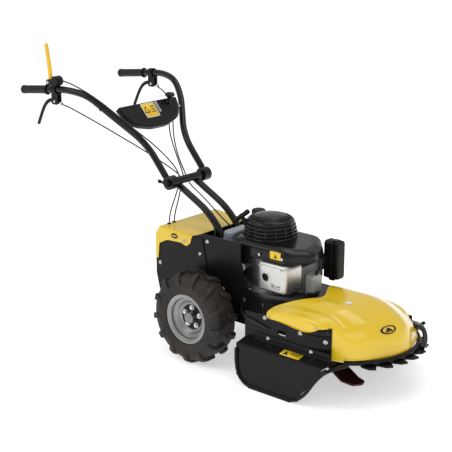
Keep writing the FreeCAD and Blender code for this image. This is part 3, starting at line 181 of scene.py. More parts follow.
FINISHES = {
    "yellow": finish_of("yellow_plastic", (0.80, 0.545, 0.016), 0.22, coat=0.4, cloud=3, cloud_depth=0.04,
                        grain=900, grain_depth=0.02, grain_height=0.00003, rough_spread=0.06),
    "yellow_lever": finish_of("yellow_lever", (0.84, 0.50, 0.010), 0.42, cloud=12, cloud_depth=0.06,
                              grain=700, grain_depth=0.05, grain_height=0.0001),
    "black_paint": finish_of("black_powder_coat", (0.006, 0.006, 0.0062), 0.3, cloud=4, cloud_depth=0.06,
                             grain=700, grain_depth=0.05, grain_height=0.00005, rough_spread=0.04,
                             shine=0.16),
    "black_tube": finish_of("black_gloss_tube", (0.006, 0.006, 0.0065), 0.16, cloud=8, cloud_depth=0.1,
                            grain=700, grain_depth=0.04, grain_height=0.00002, rough_spread=0.03, shine=0.3),
    "black_gloss": finish_of("black_gloss_plastic", (0.007, 0.007, 0.0075), 0.17, cloud=6, cloud_depth=0.1,
                             grain=800, grain_depth=0.04, grain_height=0.00002, rough_spread=0.04,
                             shine=0.28),
    "black_plastic": finish_of("black_grained_plastic", (0.007, 0.007, 0.0075), 0.4, cloud=9,
                               cloud_depth=0.12, grain=1100, grain_depth=0.12, grain_height=0.00015,
                               rough_spread=0.05, shine=0.18),
    "rubber": finish_of("tyre_rubber", (0.017, 0.0135, 0.0115), 0.6, cloud=10, cloud_depth=0.3, grain=260,
                        grain_depth=0.25, grain_height=0.0005, wear=(0.06, 0.048, 0.038),
                        dust=((0.07, 0.055, 0.04), 0.2), shine=0.35),
    "grip": finish_of("grip_rubber", (0.008, 0.008, 0.008), 0.5, cloud=20, cloud_depth=0.1, grain=900,
                      grain_depth=0.1, grain_height=0.0001, shine=0.3),
    "rim": finish_of("rim_silver_paint", (0.30, 0.30, 0.305), 0.36, metal=0.55, cloud=14, cloud_depth=0.1,
                     grain=900, grain_depth=0.15, grain_height=0.0001, wear=(0.25, 0.24, 0.23),
                     dust=((0.2, 0.17, 0.13), 0.25)),
    "pressed": finish_of("pressed_aluminium", (0.62, 0.61, 0.59), 0.3, metal=0.9, cloud=5, cloud_depth=0.04,
                         grain=700, grain_depth=0.04, grain_height=0.00003, rough_spread=0.05),
    "pressed_soft": finish_of("satin_aluminium", (0.52, 0.51, 0.48), 0.42, metal=0.2, cloud=8,
                              cloud_depth=0.1, grain=600, grain_depth=0.08, grain_height=0.00005,
                              rough_spread=0.05),
    "cast": finish_of("cast_aluminium", (0.30, 0.30, 0.305), 0.5, metal=0.85, cloud=18, cloud_depth=0.25,
                      grain=520, grain_depth=0.3, grain_height=0.0007, dust=((0.05, 0.05, 0.05), 0.5)),
    "steel": finish_of("turned_steel", (0.22, 0.22, 0.23), 0.36, metal=1.0, cloud=12, cloud_depth=0.15,
                       grain=600, grain_depth=0.15, grain_height=0.0001),
    "zinc": finish_of("bright_zinc", (0.66, 0.66, 0.64), 0.25, metal=1.0, cloud=40, cloud_depth=0.15,
                      grain=900, grain_depth=0.1, grain_height=0.00008),
    "tank": finish_of("tank_grey_plastic", (0.30, 0.33, 0.37), 0.45, cloud=9, cloud_depth=0.08, grain=900,
                      grain_depth=0.08, grain_height=0.00015),
    "cap_grey": finish_of("light_grey_plastic", (0.60, 0.60, 0.58), 0.45, cloud=20, cloud_depth=0.06,
                          grain=900, grain_depth=0.05, grain_height=0.0001),
    "blade": finish_of("blade_paint", (0.06, 0.008, 0.007), 0.42, cloud=8, cloud_depth=0.2, grain=500,
                       grain_depth=0.1, grain_height=0.0001, shine=0.35),
    "belt": finish_of("belt_rubber", (0.02, 0.02, 0.02), 0.8, cloud=30, cloud_depth=0.2, grain=900,
                      grain_depth=0.2, grain_height=0.0003),
    "sheath": finish_of("cable_sheath", (0.008, 0.008, 0.009), 0.35, cloud=30, cloud_depth=0.1, grain=1200,
                        grain_depth=0.1, grain_height=0.00005),
    "label_yellow": finish_of("label_yellow", (0.86, 0.55, 0.01), 0.35, cloud=30, cloud_depth=0.04,
                              grain=1500, grain_depth=0.03, grain_height=0.00002),
    "label_white": finish_of("label_white", (0.75, 0.75, 0.74), 0.35, cloud=30, cloud_depth=0.03, grain=1500,
                             grain_depth=0.03, grain_height=0.00002),
    "label_black": finish_of("label_black", (0.012, 0.012, 0.012), 0.4, cloud=30, cloud_depth=0.1, grain=1500,
                             grain_depth=0.05, grain_height=0.00002),
}

CAD_FINISH = {
    "black_paint": ["side_plates", "uprights", "back_plate", "engine_plate", "deck_pan", "deck_sides",
                    "front_rim", "front_comb", "wing_right", "wing_left"],
    "black_tube": ["handle_column", "handlebar_right", "handlebar_left", "clamp_bolt"],
    "cast": ["gear_case", "crankcase", "cylinder", "spindle_housing", "carburettor", "flywheel"],
    "steel": ["axle_shaft", "worm_wheel", "worm_shaft", "crankshaft", "blade_spindle", "blade_pulley",
              "engine_pulley", "blade_idler", "drive_idler", "muffler", "wheel_hubs"],
    "pressed": ["muffler_guard"],
    "pressed_soft": ["valve_cover"],
    "yellow": ["rear_hood", "front_cover"],
    "yellow_lever": ["safety_lever"],
    "black_gloss": ["engine_shroud", "recoil_dome"],
    "black_plastic": ["air_cleaner", "console_tray", "right_control", "left_control", "clutch_lever_right",
                      "clutch_lever_left", "selector_knob", "fuel_cap", "starter_grip"],
    "tank": ["fuel_tank"],
    "cap_grey": ["oil_cap"],
    "rubber": ["tyre_right", "tyre_left"],
    "grip": ["grips"],
    "rim": ["wheel_rims"],
    "blade": ["blade"],
    "belt": ["blade_belt", "drive_belt"],
    "sheath": ["cables_upper", "cables_lower"],
    "zinc": ["body_bolts", "wheel_bolts"],
}
for finish, nodes in CAD_FINISH.items():
    for node in nodes:
        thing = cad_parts[node]
        thing.data.materials.clear()
        thing.data.materials.append(FINISHES[finish])


def put(name, mesh, finish, body="root", replaces=()):
    """A mesh becomes a named piece that rides on a body, with the finish in its slot."""
    mesh.shade_smooth()
    mesh.materials.append(FINISHES[finish])
    item = bpy.data.objects.new(name, mesh)
    bpy.context.scene.collection.objects.link(item)
    if body:
        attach(item, body)
    if replaces:
        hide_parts(*replaces)
    return item


def mesh_of(name, points, faces):
    mesh = bpy.data.meshes.new(name)
    mesh.from_pydata([spot(*p) for p in points], [], faces)
    mesh.validate()
    return mesh


def bevelled(item, width, segments=3, angle=30):
    """Edges sharper than the angle rounded to a width in mm."""
    tool = item.modifiers.new("bevel", "BEVEL")
    tool.width = width / 1000
    tool.segments = segments
    tool.limit_method = "ANGLE"
    tool.angle_limit = math.radians(angle)
    return item


def thickened(item, thick, offset=-1):
    """A sheet given a thickness in mm, inwards unless offset says otherwise."""
    tool = item.modifiers.new("thickness", "SOLIDIFY")
    tool.thickness = thick / 1000
    tool.offset = offset
    return item


def weighted(item):
    """Normals that follow the larger faces."""
    tool = item.modifiers.new("normals", "WEIGHTED_NORMAL")
    tool.keep_sharp = True
    return item


def applied(item):
    """The piece with its modifiers made real."""
    bpy.context.view_layer.update()
    graph = bpy.context.evaluated_depsgraph_get()
    mesh = bpy.data.meshes.new_from_object(item.evaluated_get(graph))
    item.modifiers.clear()
    item.data = mesh
    return item


def grid_faces(rows, columns, wrap_rows=False, wrap_columns=False, start=0):
    """Four-sided faces between rows of points, closed round where a wrap says so."""
    faces = []
    for i in range(rows - (0 if wrap_rows else 1)):
        for j in range(columns - (0 if wrap_columns else 1)):
            a = start + i * columns + j
            b = start + i * columns + (j + 1) % columns
            c = start + ((i + 1) % rows) * columns + (j + 1) % columns
            d = start + ((i + 1) % rows) * columns + j
            faces.append((a, b, c, d))
    return faces


def arc_corners(corners, steps=6):
    """A closed outline whose corners with a third value are rounded to that radius."""
    points = []
    count = len(corners)
    for i, corner in enumerate(corners):
        here = Vector(corner[:2])
        radius = corner[2] if len(corner) > 2 else 0
        if not radius:
            points.append(tuple(here))
            continue
        back = (Vector(corners[i - 1][:2]) - here).normalized()
        ahead = (Vector(corners[(i + 1) % count][:2]) - here).normalized()
        half = math.acos(max(-1, min(1, back.dot(ahead)))) / 2
        reach = radius / math.tan(half)
        centre = here + (back + ahead).normalized() * (radius / math.sin(half))
        first, last = here + back * reach - centre, here + ahead * reach - centre
        turn = first.angle_signed(last)
        for k in range(steps + 1):
            a = -turn * k / steps
            x = first.x * math.cos(a) - first.y * math.sin(a)
            y = first.x * math.sin(a) + first.y * math.cos(a)
            points.append((centre.x + x, centre.y + y))
    return points


def plane_point(plane, u, v, w):
    """A point of an outline (u, v) on a plane, pushed w along the plane's normal."""
    return {"XY": (u, v, w), "XZ": (u, w, v), "YZ": (w, u, v)}[plane]


def prism(name, corners, plane, low, high, finish, body="root", replaces=(), bevel=0, segments=3):
    """An outline pushed from low to high, with softened edges."""
    outline = arc_corners(corners)
    count = len(outline)
    points = [plane_point(plane, u, v, w) for w in (low, high) for u, v in outline]
    faces = [(i, (i + 1) % count, count + (i + 1) % count, count + i) for i in range(count)]
    faces += [tuple(range(count))[::-1], tuple(range(count, 2 * count))]
    item = skin(name, points, faces, finish, body, replaces)
    if bevel:
        bevelled(item, bevel, segments)
    return weighted(item)


def outward(mesh):
    """Faces turned to face out."""
    work = bmesh.new()
    work.from_mesh(mesh)
    bmesh.ops.recalc_face_normals(work, faces=work.faces)
    work.to_mesh(mesh)
    work.free()
    return mesh


def skin(name, points, faces, finish, body="root", replaces=(), weld=0):
    """A piece made from points and faces, its near points welded where a distance in metres is given."""
    mesh = mesh_of(name, points, faces)
    if weld:
        welded(mesh, weld)
    return put(name, outward(mesh), finish, body, replaces)


def lathe(name, profile, centre, finish, body="root", replaces=(), way=(0, 0, 1), steps=64, closed=True):
    """A profile of (radius, height) turned round a line through the centre that points along way."""
    centre = Vector(centre)
    along = Vector(way).normalized()
    side = along.orthogonal().normalized()
    other = along.cross(side)
    points = []
    for k in range(steps):
        a = 2 * math.pi * k / steps
        out = side * math.cos(a) + other * math.sin(a)
        points += [tuple(centre + out * r + along * h) for r, h in profile]
    faces = grid_faces(steps, len(profile), wrap_rows=True, wrap_columns=closed)
    return weighted(skin(name, points, faces, finish, body, replaces, WELD))


WELD = 0.00002      # metres between points that welding makes one


def welded(mesh, distance):
    """Points nearer than a distance in metres made one."""
    work = bmesh.new()
    work.from_mesh(mesh)
    bmesh.ops.remove_doubles(work, verts=work.verts, dist=distance)
    work.to_mesh(mesh)
    work.free()
    return mesh


def route_curve(name, points, radius):
    """A smooth cable through its route, as a curve with a round section."""
    curve = bpy.data.curves.new(name, "CURVE")
    curve.dimensions = "3D"
    curve.resolution_u = 8
    curve.bevel_depth = radius / 1000
    curve.bevel_resolution = 3
    spline = curve.splines.new("NURBS")
    spline.points.add(len(points) - 1)
    for target, point in zip(spline.points, points):
        target.co = (*spot(*point), 1)
    spline.order_u = 3
    spline.use_endpoint_u = True
    return curve


def curve_mesh(curve):
    """A curve made into a mesh."""
    maker = bpy.data.objects.new("curve_maker", curve)
    bpy.context.scene.collection.objects.link(maker)
    bpy.context.view_layer.update()
    mesh = bpy.data.meshes.new_from_object(maker.evaluated_get(bpy.context.evaluated_depsgraph_get()))
    bpy.data.objects.remove(maker)
    return mesh


def tube(name, points, radius, finish, body="root", replaces=()):
    """A round bar or cable along its route."""
    curve = route_curve(name, points, radius)
    curve.use_fill_caps = True
    return put(name, curve_mesh(curve), finish, body, replaces)


# ---------------------------------------------------------------- deck cover
def smooth_path(points, t):
    """A Catmull-Rom curve through the points at t from 0 to 1."""
    span = t * (len(points) - 1)
    i = min(int(span), len(points) - 2)
    f = span - i
    p = [np.array(points[max(0, min(len(points) - 1, i + k))], float) for k in (-1, 0, 1, 2)]
    return 0.5 * (2 * p[1] + (p[2] - p[0]) * f + (2 * p[0] - 5 * p[1] + 4 * p[2] - p[3]) * f ** 2
                  + (3 * p[1] - p[0] - 3 * p[2] + p[3]) * f ** 3)


# The cover's lines from front to back: y, then seven (x, z) from the rear edge to the hem
COVER_LINES = (
    (-238.5, [(333, 264), (400, 272), (440, 275), (470, 276), (508, 274), (534, 267), (550, 256)]),
    (-225, [(333, 267), (400, 275), (466, 279), (520, 281), (548, 277), (562, 268), (569, 258)]),
    (-220, [(333, 268), (400, 275.5), (467, 280), (526, 282), (558, 277), (571, 268), (577, 260)]),
    (-216, [(333, 269), (400, 276), (468, 281), (532, 283), (568, 272), (580, 234), (573, 160)]),
    (-200, [(333, 271), (400, 279), (470, 284), (556, 284), (602, 262), (622, 226), (630, 160)]),
    (-130, [(331, 287), (400, 295), (470, 298), (568, 297), (641, 272), (676, 232), (688, 160)]),
    (0, [(331, 297), (400, 305), (473, 308), (573, 306), (657, 279), (709, 233), (727, 160)]),
    (130, [(331, 264), (400, 267), (470, 264), (560, 257), (618, 234), (664, 202), (688, 160)]),
    (146, [(331, 259), (400, 260), (470, 257), (556, 249), (612, 228), (655, 198), (674, 160)]),
    (200, [(333, 232), (400, 231), (470, 231), (540, 222), (588, 202), (616, 182), (630, 160)]),
    (225, [(333, 222), (400, 221), (466, 221), (520, 218), (554, 210), (571, 200), (578, 190)]),
    (238.5, [(333, 216), (400, 215), (440, 215), (466, 214), (504, 208), (522, 200), (530, 188)]),
)
COVER_TOP_HALF = 222       # where the top turns down into the side flaps
COVER_NOTCH = 250.0        # radius of the engine's notch in the rear edge
# The rear edge in front of the engine as (y, x), and each flap's lower edge as (x, z)
REAR_EDGE = [(-223, 331), (-206, 331), (-190, 336), (-174, 350), (-152, 372), (-137, 394), (-119, 423),
             (-100, 443), (-80, 448), (-60, 443), (-22, 420), (13, 403), (40, 400)]
RIGHT_FLAP = [(333, 244), (342, 241), (358, 241), (383, 241), (413, 238.5), (454, 232.5), (487, 230),
              (512, 234), (532, 243), (550, 256)]
LEFT_FLAP = [(333, 196), (345, 186), (510, 186), (530, 188)]


def smoothstep(low, high, value):
    t = max(0.0, min(1.0, (value - low) / (high - low)))
    return t * t * (3 - 2 * t)


def steady(xs, ys, x):
    """A smooth curve through points that never overshoots them."""
    slopes = [(ys[i + 1] - ys[i]) / (xs[i + 1] - xs[i]) for i in range(len(xs) - 1)]
    i = max(0, min(len(slopes) - 1, int(np.searchsorted(xs, x)) - 1))

    def tangent(k):
        if k == 0 or k == len(xs) - 1:
            return slopes[min(k, len(slopes) - 1)]
        a, b = slopes[k - 1], slopes[k]
        return 0.0 if a * b <= 0 else 2 * a * b / (a + b)

    h = xs[i + 1] - xs[i]
    t = (x - xs[i]) / h
    return ((2 * t ** 3 - 3 * t ** 2 + 1) * ys[i] + (t ** 3 - 2 * t ** 2 + t) * h * tangent(i)
            + (3 * t ** 2 - 2 * t ** 3) * ys[i + 1] + (t ** 3 - t ** 2) * h * tangent(i + 1))


def cover_point(t, y):
    """A point of the cover at t along its fore-and-aft line, y across."""
    ys = [line[0] for line in COVER_LINES]
    spots = [smooth_path(line[1], t) for line in COVER_LINES]
    x = steady(ys, [p[0] for p in spots], y)
    z = steady(ys, [p[1] for p in spots], y)
    fade = smoothstep(345, 430, x) * smoothstep(170, 215, z)
    ridge = -196 - 8 * smoothstep(520, 600, x)
    valley = -168 - 10 * smoothstep(500, 600, x)
    rise = 3.0 * math.exp(-((y - ridge) / 9) ** 2) - 6.5 * math.exp(-((y - valley) / 15) ** 2)
    return x, z + fade * rise + 3.0 * fade * math.exp(-((y + 118) / 22) ** 2)


def cover_column(y, count):
    """Points of the cover's top at y, from the rear edge to the front hem."""
    dense = [cover_point(k / 240, y) for k in range(241)]
    rear = CRANK_X + math.sqrt(max(0.0, COVER_NOTCH ** 2 - y ** 2))
    if y < REAR_EDGE[-1][0]:
        rear = max(rear, float(np.interp(y, [p[0] for p in REAR_EDGE], [p[1] for p in REAR_EDGE])))
    kept = [p for p in dense if p[0] >= rear] if dense[0][0] < rear else dense
    if dense[0][0] < rear:
        kept.insert(0, (rear, kept[0][1]))
    column = []
    for i in range(count):
        place = (len(kept) - 1) * i / (count - 1)
        k = min(int(place), len(kept) - 2)
        f = place - k
        column.append((kept[k][0] + (kept[k + 1][0] - kept[k][0]) * f, y,
                       kept[k][1] + (kept[k + 1][1] - kept[k][1]) * f))
    return column


def flap_columns(base, line, sign, flap):
    """Columns that turn down from the top's last one over the shoulder, then to the flap's lower edge."""
    count = len(base)
    outer = [smooth_path(line, i / (count - 1)) for i in range(count)]
    added = []
    for turn in (12, 24, 36, 48, 60, 75, 90):
        a = math.radians(turn)
        column = []
        for i in range(count):
            drop = 8 * (1 - smoothstep(0.72, 1.0, i / (count - 1))) * (1 - math.cos(a))
            bx, _, bz = base[i]
            x = bx + (outer[i][0] - bx) * (1 - math.cos(a)) ** 0.8
            z = bz + (outer[i][1] - bz) * (1 - math.cos(a)) - drop
            column.append((x, sign * (COVER_TOP_HALF + 16.5 * math.sin(a)), z))
        added.append(column)
    edge = added[-1]
    for share in (0.3, 0.65, 1.0):
        column = []
        for x, y, z in edge:
            low = min(z, float(np.interp(x, [p[0] for p in flap], [p[1] for p in flap])))
            column.append((x, y, z + (low - z) * share))
        added.append(column)
    return added


def front_cover():
    """Yellow shell: high on the right, falling away to the left, with a turned-down flap at each side."""
    rows = 84
    across = [-222, -220.5, -219, -217.5, -216, -214, -211] + list(range(-207, 208, 6)) + [212, 217, 222]
    columns = [cover_column(y, rows) for y in across]
    right = flap_columns(columns[0], COVER_LINES[0][1], -1, RIGHT_FLAP)
    left = flap_columns(columns[-1], COVER_LINES[-1][1], 1, LEFT_FLAP)
    columns = right[::-1] + columns + left
    for column in columns:
        x, y, z = column[-1]
        hem = smoothstep(175, 162, z)
        column += [(x + 1.2 * hem, y, z - 4 * hem), (x + 0.4 * hem, y, z - 11 * hem)]
    points = [column[i] for i in range(rows + 2) for column in columns]
    faces = grid_faces(rows + 2, len(columns))
    shell = skin("front_cover_shell", points, faces, "yellow", replaces=("front_cover",), weld=0.0001)
    smoother = shell.modifiers.new("soften", "SMOOTH")
    smoother.factor = 0.5
    smoother.iterations = 2
    thickened(shell, 3.0)
    rolled_lip()
    for i, (x, z) in enumerate(((346, 250), (540, 258))):
        dome_bolt(f"cover_clip_{i}", (x, -239.4, z), (0, -1, 0), radius=4.6, height=3.0)


def rolled_lip():
    """Rounded bead that runs along the front edge of the cover."""
    path = []
    for k in range(41):
        y = -200 + 400 * k / 40
        x, z = cover_point(1.0, y)
        path.append((x + 1.4, y, z + 1.0))
    tube("front_cover_bead", path, 2.2, "yellow")


# ---------------------------------------------------------------- wheels
def wheel(side, sign):
    """Tyre with chevron lugs and a dished rim, at y = sign * TYRE_MID."""
    def turned(r, w, a):
        return (r * math.sin(a), sign * (TYRE_MID + w), AXLE_Z + r * math.cos(a))

    steps = 104
    half = [(77, -40.5), (83, -42), (89.6, -43.5), (91.5, -49.5), (95, -51.2), (98, -50.6), (101, -51.6),
            (112, -53), (119, -52.6), (120.5, -53.6), (123, -53.4), (124.5, -52), (134, -50.3), (143, -47.6),
            (149.5, -42.5), (152, -36), (152.6, -18), (152.8, 0)]
    profile = half + [(r, -w) for r, w in half[-2::-1]]
    inner = [(77, 34), (100, 42), (136, 37), (143, 26), (144, 0), (143, -26), (136, -37), (100, -42),
             (77, -34)]
    profile = profile + inner
    points = [turned(r, w, 2 * math.pi * k / steps) for k in range(steps) for r, w in profile]
    faces = grid_faces(steps, len(profile), wrap_rows=True, wrap_columns=True)
    carcass = mesh_of(f"tyre_{side}_carcass", points, faces)
    outward(carcass)
    weighted(put(f"tyre_{side}_carcass", carcass, "rubber", "axle", (f"tyre_{side}",)))

    path = [((152, 3.0), (1, 0), 12.6, 8.5, 0.0), ((152, 13), (1, 0), 12.8, 8.5, 3.6),
            ((152, 24), (1, 0.02), 12.8, 8.8, 7.6), ((151, 34), (0.97, 0.18), 12.6, 9.4, 11.4),
            ((147, 43), (0.82, 0.57), 11.2, 10.0, 14.6), ((140, 48.6), (0.5, 0.86), 8.2, 10.4, 16.8),
            ((130, 51.4), (0.25, 0.97), 5.2, 10.2, 18.2), ((121, 53), (0.12, 0.99), 1.6, 9.0, 19.0)]
    points, faces = [], []
    count = 13
    for lug in range(count):
        for hand in (1, -1):
            base = 2 * math.pi * (lug + 0.25 * hand) / count
            start = len(points)
            for (r, w), (nr, nw), height, breadth, shift in path:
                for lift, wide in ((-4, breadth + 1.8), (height * 0.55, breadth + 0.9),
                                   (height, breadth - 0.6),
                                   (height, 1.6 - breadth), (height * 0.55, -breadth - 0.9),
                                   (-4, -breadth - 1.8)):
                    rr, ww = r + nr * lift, w + nw * lift
                    angle = base + (shift + wide) / 152.0
                    points.append(turned(rr, hand * ww, angle))
            faces += grid_faces(len(path), 6, start=start)
            faces.append(tuple(range(start, start + 6)))
            end = start + 6 * (len(path) - 1)
            faces.append(tuple(range(end, end + 6))[::-1])
    lugs = mesh_of(f"tyre_{side}_lugs", points, faces)
    outward(lugs)
    item = put(f"tyre_{side}_lugs", lugs, "rubber", "axle")
    bevelled(item, 2.0, 2, 25)
    weighted(item)

    rim_profile = [(25, 14), (30, 14.4), (48, 14.4), (53, 15.5), (57.5, 20), (60.5, 25.5), (64, 28),
                   (69, 29.2), (72, 31), (73.2, 35), (73.4, 41.5), (75, 44.2), (79, 46.2), (84, 48),
                   (88.2, 48.6), (90, 47.4), (90, 45.6), (86, 44.6), (79, 42.4), (76.6, 40), (76.3, 0),
                   (76.6, -40), (79, -42.4), (86, -44.6), (90, -45.6), (90, -47.4), (88.2, -48.6),
                   (79, -46.2), (73.5, -43), (73, -20), (73, 26), (68, 26), (63, 24.6), (58, 20), (55, 14),
                   (50, 11.4), (25, 11.2)]
    lathe(f"rim_{side}", [(r, sign * w) for r, w in rim_profile], (0, sign * TYRE_MID, AXLE_Z), "rim", "axle",
          ("wheel_rims",) if side == "right" else (), steps=96, way=(0, 1, 0))
    valve_angle = 0.9
    lathe(f"valve_{side}", [(0, 0), (4.2, 0), (4.2, 5), (3.0, 7), (3.0, 15), (2.4, 16), (2.4, 20), (0, 20)],
          (70 * math.sin(valve_angle), sign * (TYRE_MID + 27), AXLE_Z + 70 * math.cos(valve_angle)),
          "black_plastic", "axle", steps=16, closed=False, way=(0, sign, 0))
    for i in range(5):
        a = math.radians(72 * i + 18)
        centre = (34 * math.cos(a), sign * (TYRE_MID + 14.4), AXLE_Z + 34 * math.sin(a))
        hex_bolt(f"wheel_bolt_{side}_{i}", centre, (0, sign, 0), 7.4, 6.2, "axle",
                 ("wheel_bolts",) if i == 0 and side == "right" else ())
    lathe(f"hub_cap_{side}", [(10.3, 20), (17, 20), (20.5, 18.5), (21.5, 16), (22.5, 13), (26, 12.6),
                              (26, 14.8), (46, 15.0), (46.4, 14.0), (46.4, 12.0), (10.3, 12.0)],
          (0, sign * TYRE_MID, AXLE_Z), "black_paint", "axle", steps=48, way=(0, sign, 0))


def hex_bolt(name, centre, way, radius, height, body="root", replaces=()):
    """A hexagon head with a chamfer, on a washer."""
    along = Vector(way).normalized()
    side = along.orthogonal().normalized()
    other = along.cross(side)
    centre = Vector(centre)
    points, steps = [], 24
    rings = [(radius * 1.35, 0, False), (radius * 1.35, 1.2, False), (radius * 1.02, 1.3, False),
             (radius, 1.3, True), (radius, height * 0.8, True), (radius * 0.86, height, True),
             (0.01, height, True)]
    for r, h, hexagon in rings:
        for k in range(steps):
            a = 2 * math.pi * k / steps
            reach = r
            if hexagon:
                local = (a % (math.pi / 3)) - math.pi / 6
                reach = r * math.cos(math.pi / 6) / math.cos(local)
            points.append(tuple(centre + side * math.cos(a) * reach + other * math.sin(a) * reach
                                + along * h))
    faces = grid_faces(len(rings), steps, wrap_columns=True) + [tuple(range(steps))]
    return weighted(bevelled(skin(name, points, faces, "zinc", body, replaces, weld=WELD), 0.4, 1, 30))


def dome_bolt(name, centre, way, radius, height, replaces=()):
    """A domed screw head with a hexagon socket, on a thin washer."""
    profile = [(0, height - 3), (2.6, height - 3), (2.8, height - 0.3), (3.4, height),
               (radius * 0.55, height - 0.4), (radius * 0.75, height - 1.4), (radius * 0.84, height - 3),
               (radius * 0.86, 1.2), (radius, 1.1), (radius * 1.04, 0.6), (radius * 1.04, -0.2), (0, -0.2)]
    return lathe(name, profile, centre, "zinc", replaces=replaces, steps=28, closed=False, way=way)


# ---------------------------------------------------------------- rear hood
def rear_hood():
    """Yellow hood over the gearbox: one bent sheet with softened edges and arched side flaps."""
    top = arc_corners([(-266, 309), (-266, 400, 34), (-243, 434, 20), (-83, 421)], 8)
    low = arc_corners([(-83, 421), (-88, 397, 4), (-108, 381, 8), (-136, 389, 40), (-205, 386, 60),
                       (-243, 366, 14), (-248, 309)], 8)[1:]
    half = 153.5
    stations = [-half, -100, -50, 0, 50, 100, half]
    points = [(x, y, z) for y in stations for x, z in top]
    count = len(top)
    faces = grid_faces(len(stations), count)
    for sign, first in ((-1, 0), (1, (len(stations) - 1) * count)):
        start = len(points)
        points += [(x, sign * half, z) for x, z in low]
        loop = [first + k for k in range(count)] + list(range(start, start + len(low)))
        faces.append(tuple(loop if sign < 0 else loop[::-1]))
    mesh = mesh_of("rear_hood_shell", points, faces)
    outward(mesh)
    hood = put("rear_hood_shell", mesh, "yellow", "root", ("rear_hood",))
    bevelled(hood, 9, 4, 50)
    thickened(hood, 3)
    weighted(hood)
    for i, (x, y) in enumerate(((-230, -114), (-232, -86))):
        lathe(f"hood_grommet_{i}", [(2.9, -4), (6.5, -4), (7.6, 1.2), (7.2, 2.6), (4.2, 3.2), (2.9, 2.4)],
              (x, y, 432.5), "belt", steps=24)
    for side, sign in SIDES:
        oval(f"hood_emblem_{side}", (-166, sign * 153.6, 408), 17, 10, (0, sign, 0), "label_black")
        oval(f"hood_emblem_bar_{side}", (-166, sign * 154.0, 408), 12, 2.2, (0, sign, 0), "yellow")
        dome_bolt(f"hood_bolt_{side}", (-118, sign * 153.8, 400), (0, sign, 0), radius=5.5, height=4)


def oval(name, centre, wide, tall, way, finish):
    """A thin raised oval badge, long side along X."""
    along = Vector(way).normalized()
    side = Vector((1, 0, 0))
    other = along.cross(side)
    points, steps, lift = [], 32, 0.5
    for share, h in ((1.0, 0.0), (0.97, lift * 0.8), (0.9, lift), (0.0, lift)):
        for k in range(steps):
            a = 2 * math.pi * k / steps
            points.append(tuple(Vector(centre) + side * wide * share * math.cos(a)
                                + other * tall * share * math.sin(a) + along * h))
    return skin(name, points, grid_faces(4, steps, wrap_columns=True), finish, weld=WELD)


# ---------------------------------------------------------------- engine
DOME_LOW = 440.0       # height of the starter dome's foot
# The shroud's outline from above: x, y and the corner's radius
SHROUD = [(50, -120, 58), (322, -120, 66), (377, -36, 60), (353, 46, 45), (290, 118, 50), (50, 118, 58)]


def inset(outline, distance):
    """A closed outline moved inwards along its normals."""
    count = len(outline)
    out = []
    for i in range(count):
        a, b = Vector(outline[i - 1]), Vector(outline[(i + 1) % count])
        along = (b - a).normalized()
        out.append((outline[i][0] - along.y * distance, outline[i][1] + along.x * distance))
    return out


def resampled(outline, count):
    """The same closed outline with evenly spaced points."""
    points = [Vector(p) for p in outline] + [Vector(outline[0])]
    lengths = [0.0]
    for a, b in zip(points, points[1:]):
        lengths.append(lengths[-1] + (b - a).length)
    out, j = [], 0
    for k in range(count):
        want = lengths[-1] * k / count
        while lengths[j + 1] < want:
            j += 1
        f = (want - lengths[j]) / (lengths[j + 1] - lengths[j])
        p = points[j].lerp(points[j + 1], f)
        out.append((p.x, p.y))
    return out


def engine_shroud():
    """Black blower shroud with a lower lip, a soft shoulder and a top that falls towards the front."""
    outline = resampled(arc_corners(SHROUD, 10), 120)
    levels = [(3.0, 391), (0.4, 391), (-1.8, 392.5), (-2.2, 395), (-1.6, 397.5), (0.8, 399), (1.2, 403),
              (1.6, 420), (3.2, 427), (6.5, 433), (11.5, 437.5), (18, 440.5), (26, 442.5), (34, 443.5),
              (41, 443.8)]
    points = []
    for distance, z in levels:
        for x, y in inset(outline, distance):
            fall = 15 * smoothstep(250, 385, x) * smoothstep(396, 440, z)
            points.append((x, y, z - fall))
    count = len(outline)
    faces = grid_faces(len(levels), count, wrap_columns=True)
    faces.append(tuple(range((len(levels) - 1) * count, len(levels) * count)))
    faces.append(tuple(range(count))[::-1])
    mesh = mesh_of("engine_shroud_shell", points, faces)
    outward(mesh)
    weighted(put("engine_shroud_shell", mesh, "black_gloss", "root", ("engine_shroud",)))
    for i, (x, y) in enumerate(((96, -123.5), (205, -123.5), (300, -119))):
        lathe(f"shroud_screw_{i}", [(0, 3), (2, 3), (2.2, 4.4), (4.6, 4.2), (5.6, 2.5), (5.8, 0), (0, 0)],
              (x, y + 1, 409), "zinc", steps=20, closed=False, way=(0, -1, 0))
    prism("shroud_skirt", [(48, 352), (128, 352, 6), (142, 372, 10), (150, 393, 4), (150, 402), (48, 402, 4)],
          "XZ", -121.5, -118.5, "black_gloss", bevel=0.8)


def dome_fins(name, count, first, half_width, path):
    """Upright plates that stand round the starter dome, each along a path of (radius, height)."""
    points, faces = [], []
    rows = len(path)
    for k in range(count):
        a = 2 * math.pi * (k + first) / count
        out = Vector((math.cos(a), math.sin(a), 0))
        across = Vector((-math.sin(a), math.cos(a), 0))
        start = len(points)
        for r, h in path:
            for w in (-half_width, half_width):
                points.append(tuple(Vector((CRANK_X, 0, DOME_LOW + h)) + out * r + across * w))
        faces += grid_faces(rows, 2, start=start)
        faces.append(tuple(range(start, start + 2 * rows, 2)))
        faces.append(tuple(range(start + 1, start + 2 * rows, 2))[::-1])
        faces.append((start, start + 2 * rows - 2, start + 2 * rows - 1, start + 1))
    return skin(name, points, faces, "black_gloss")


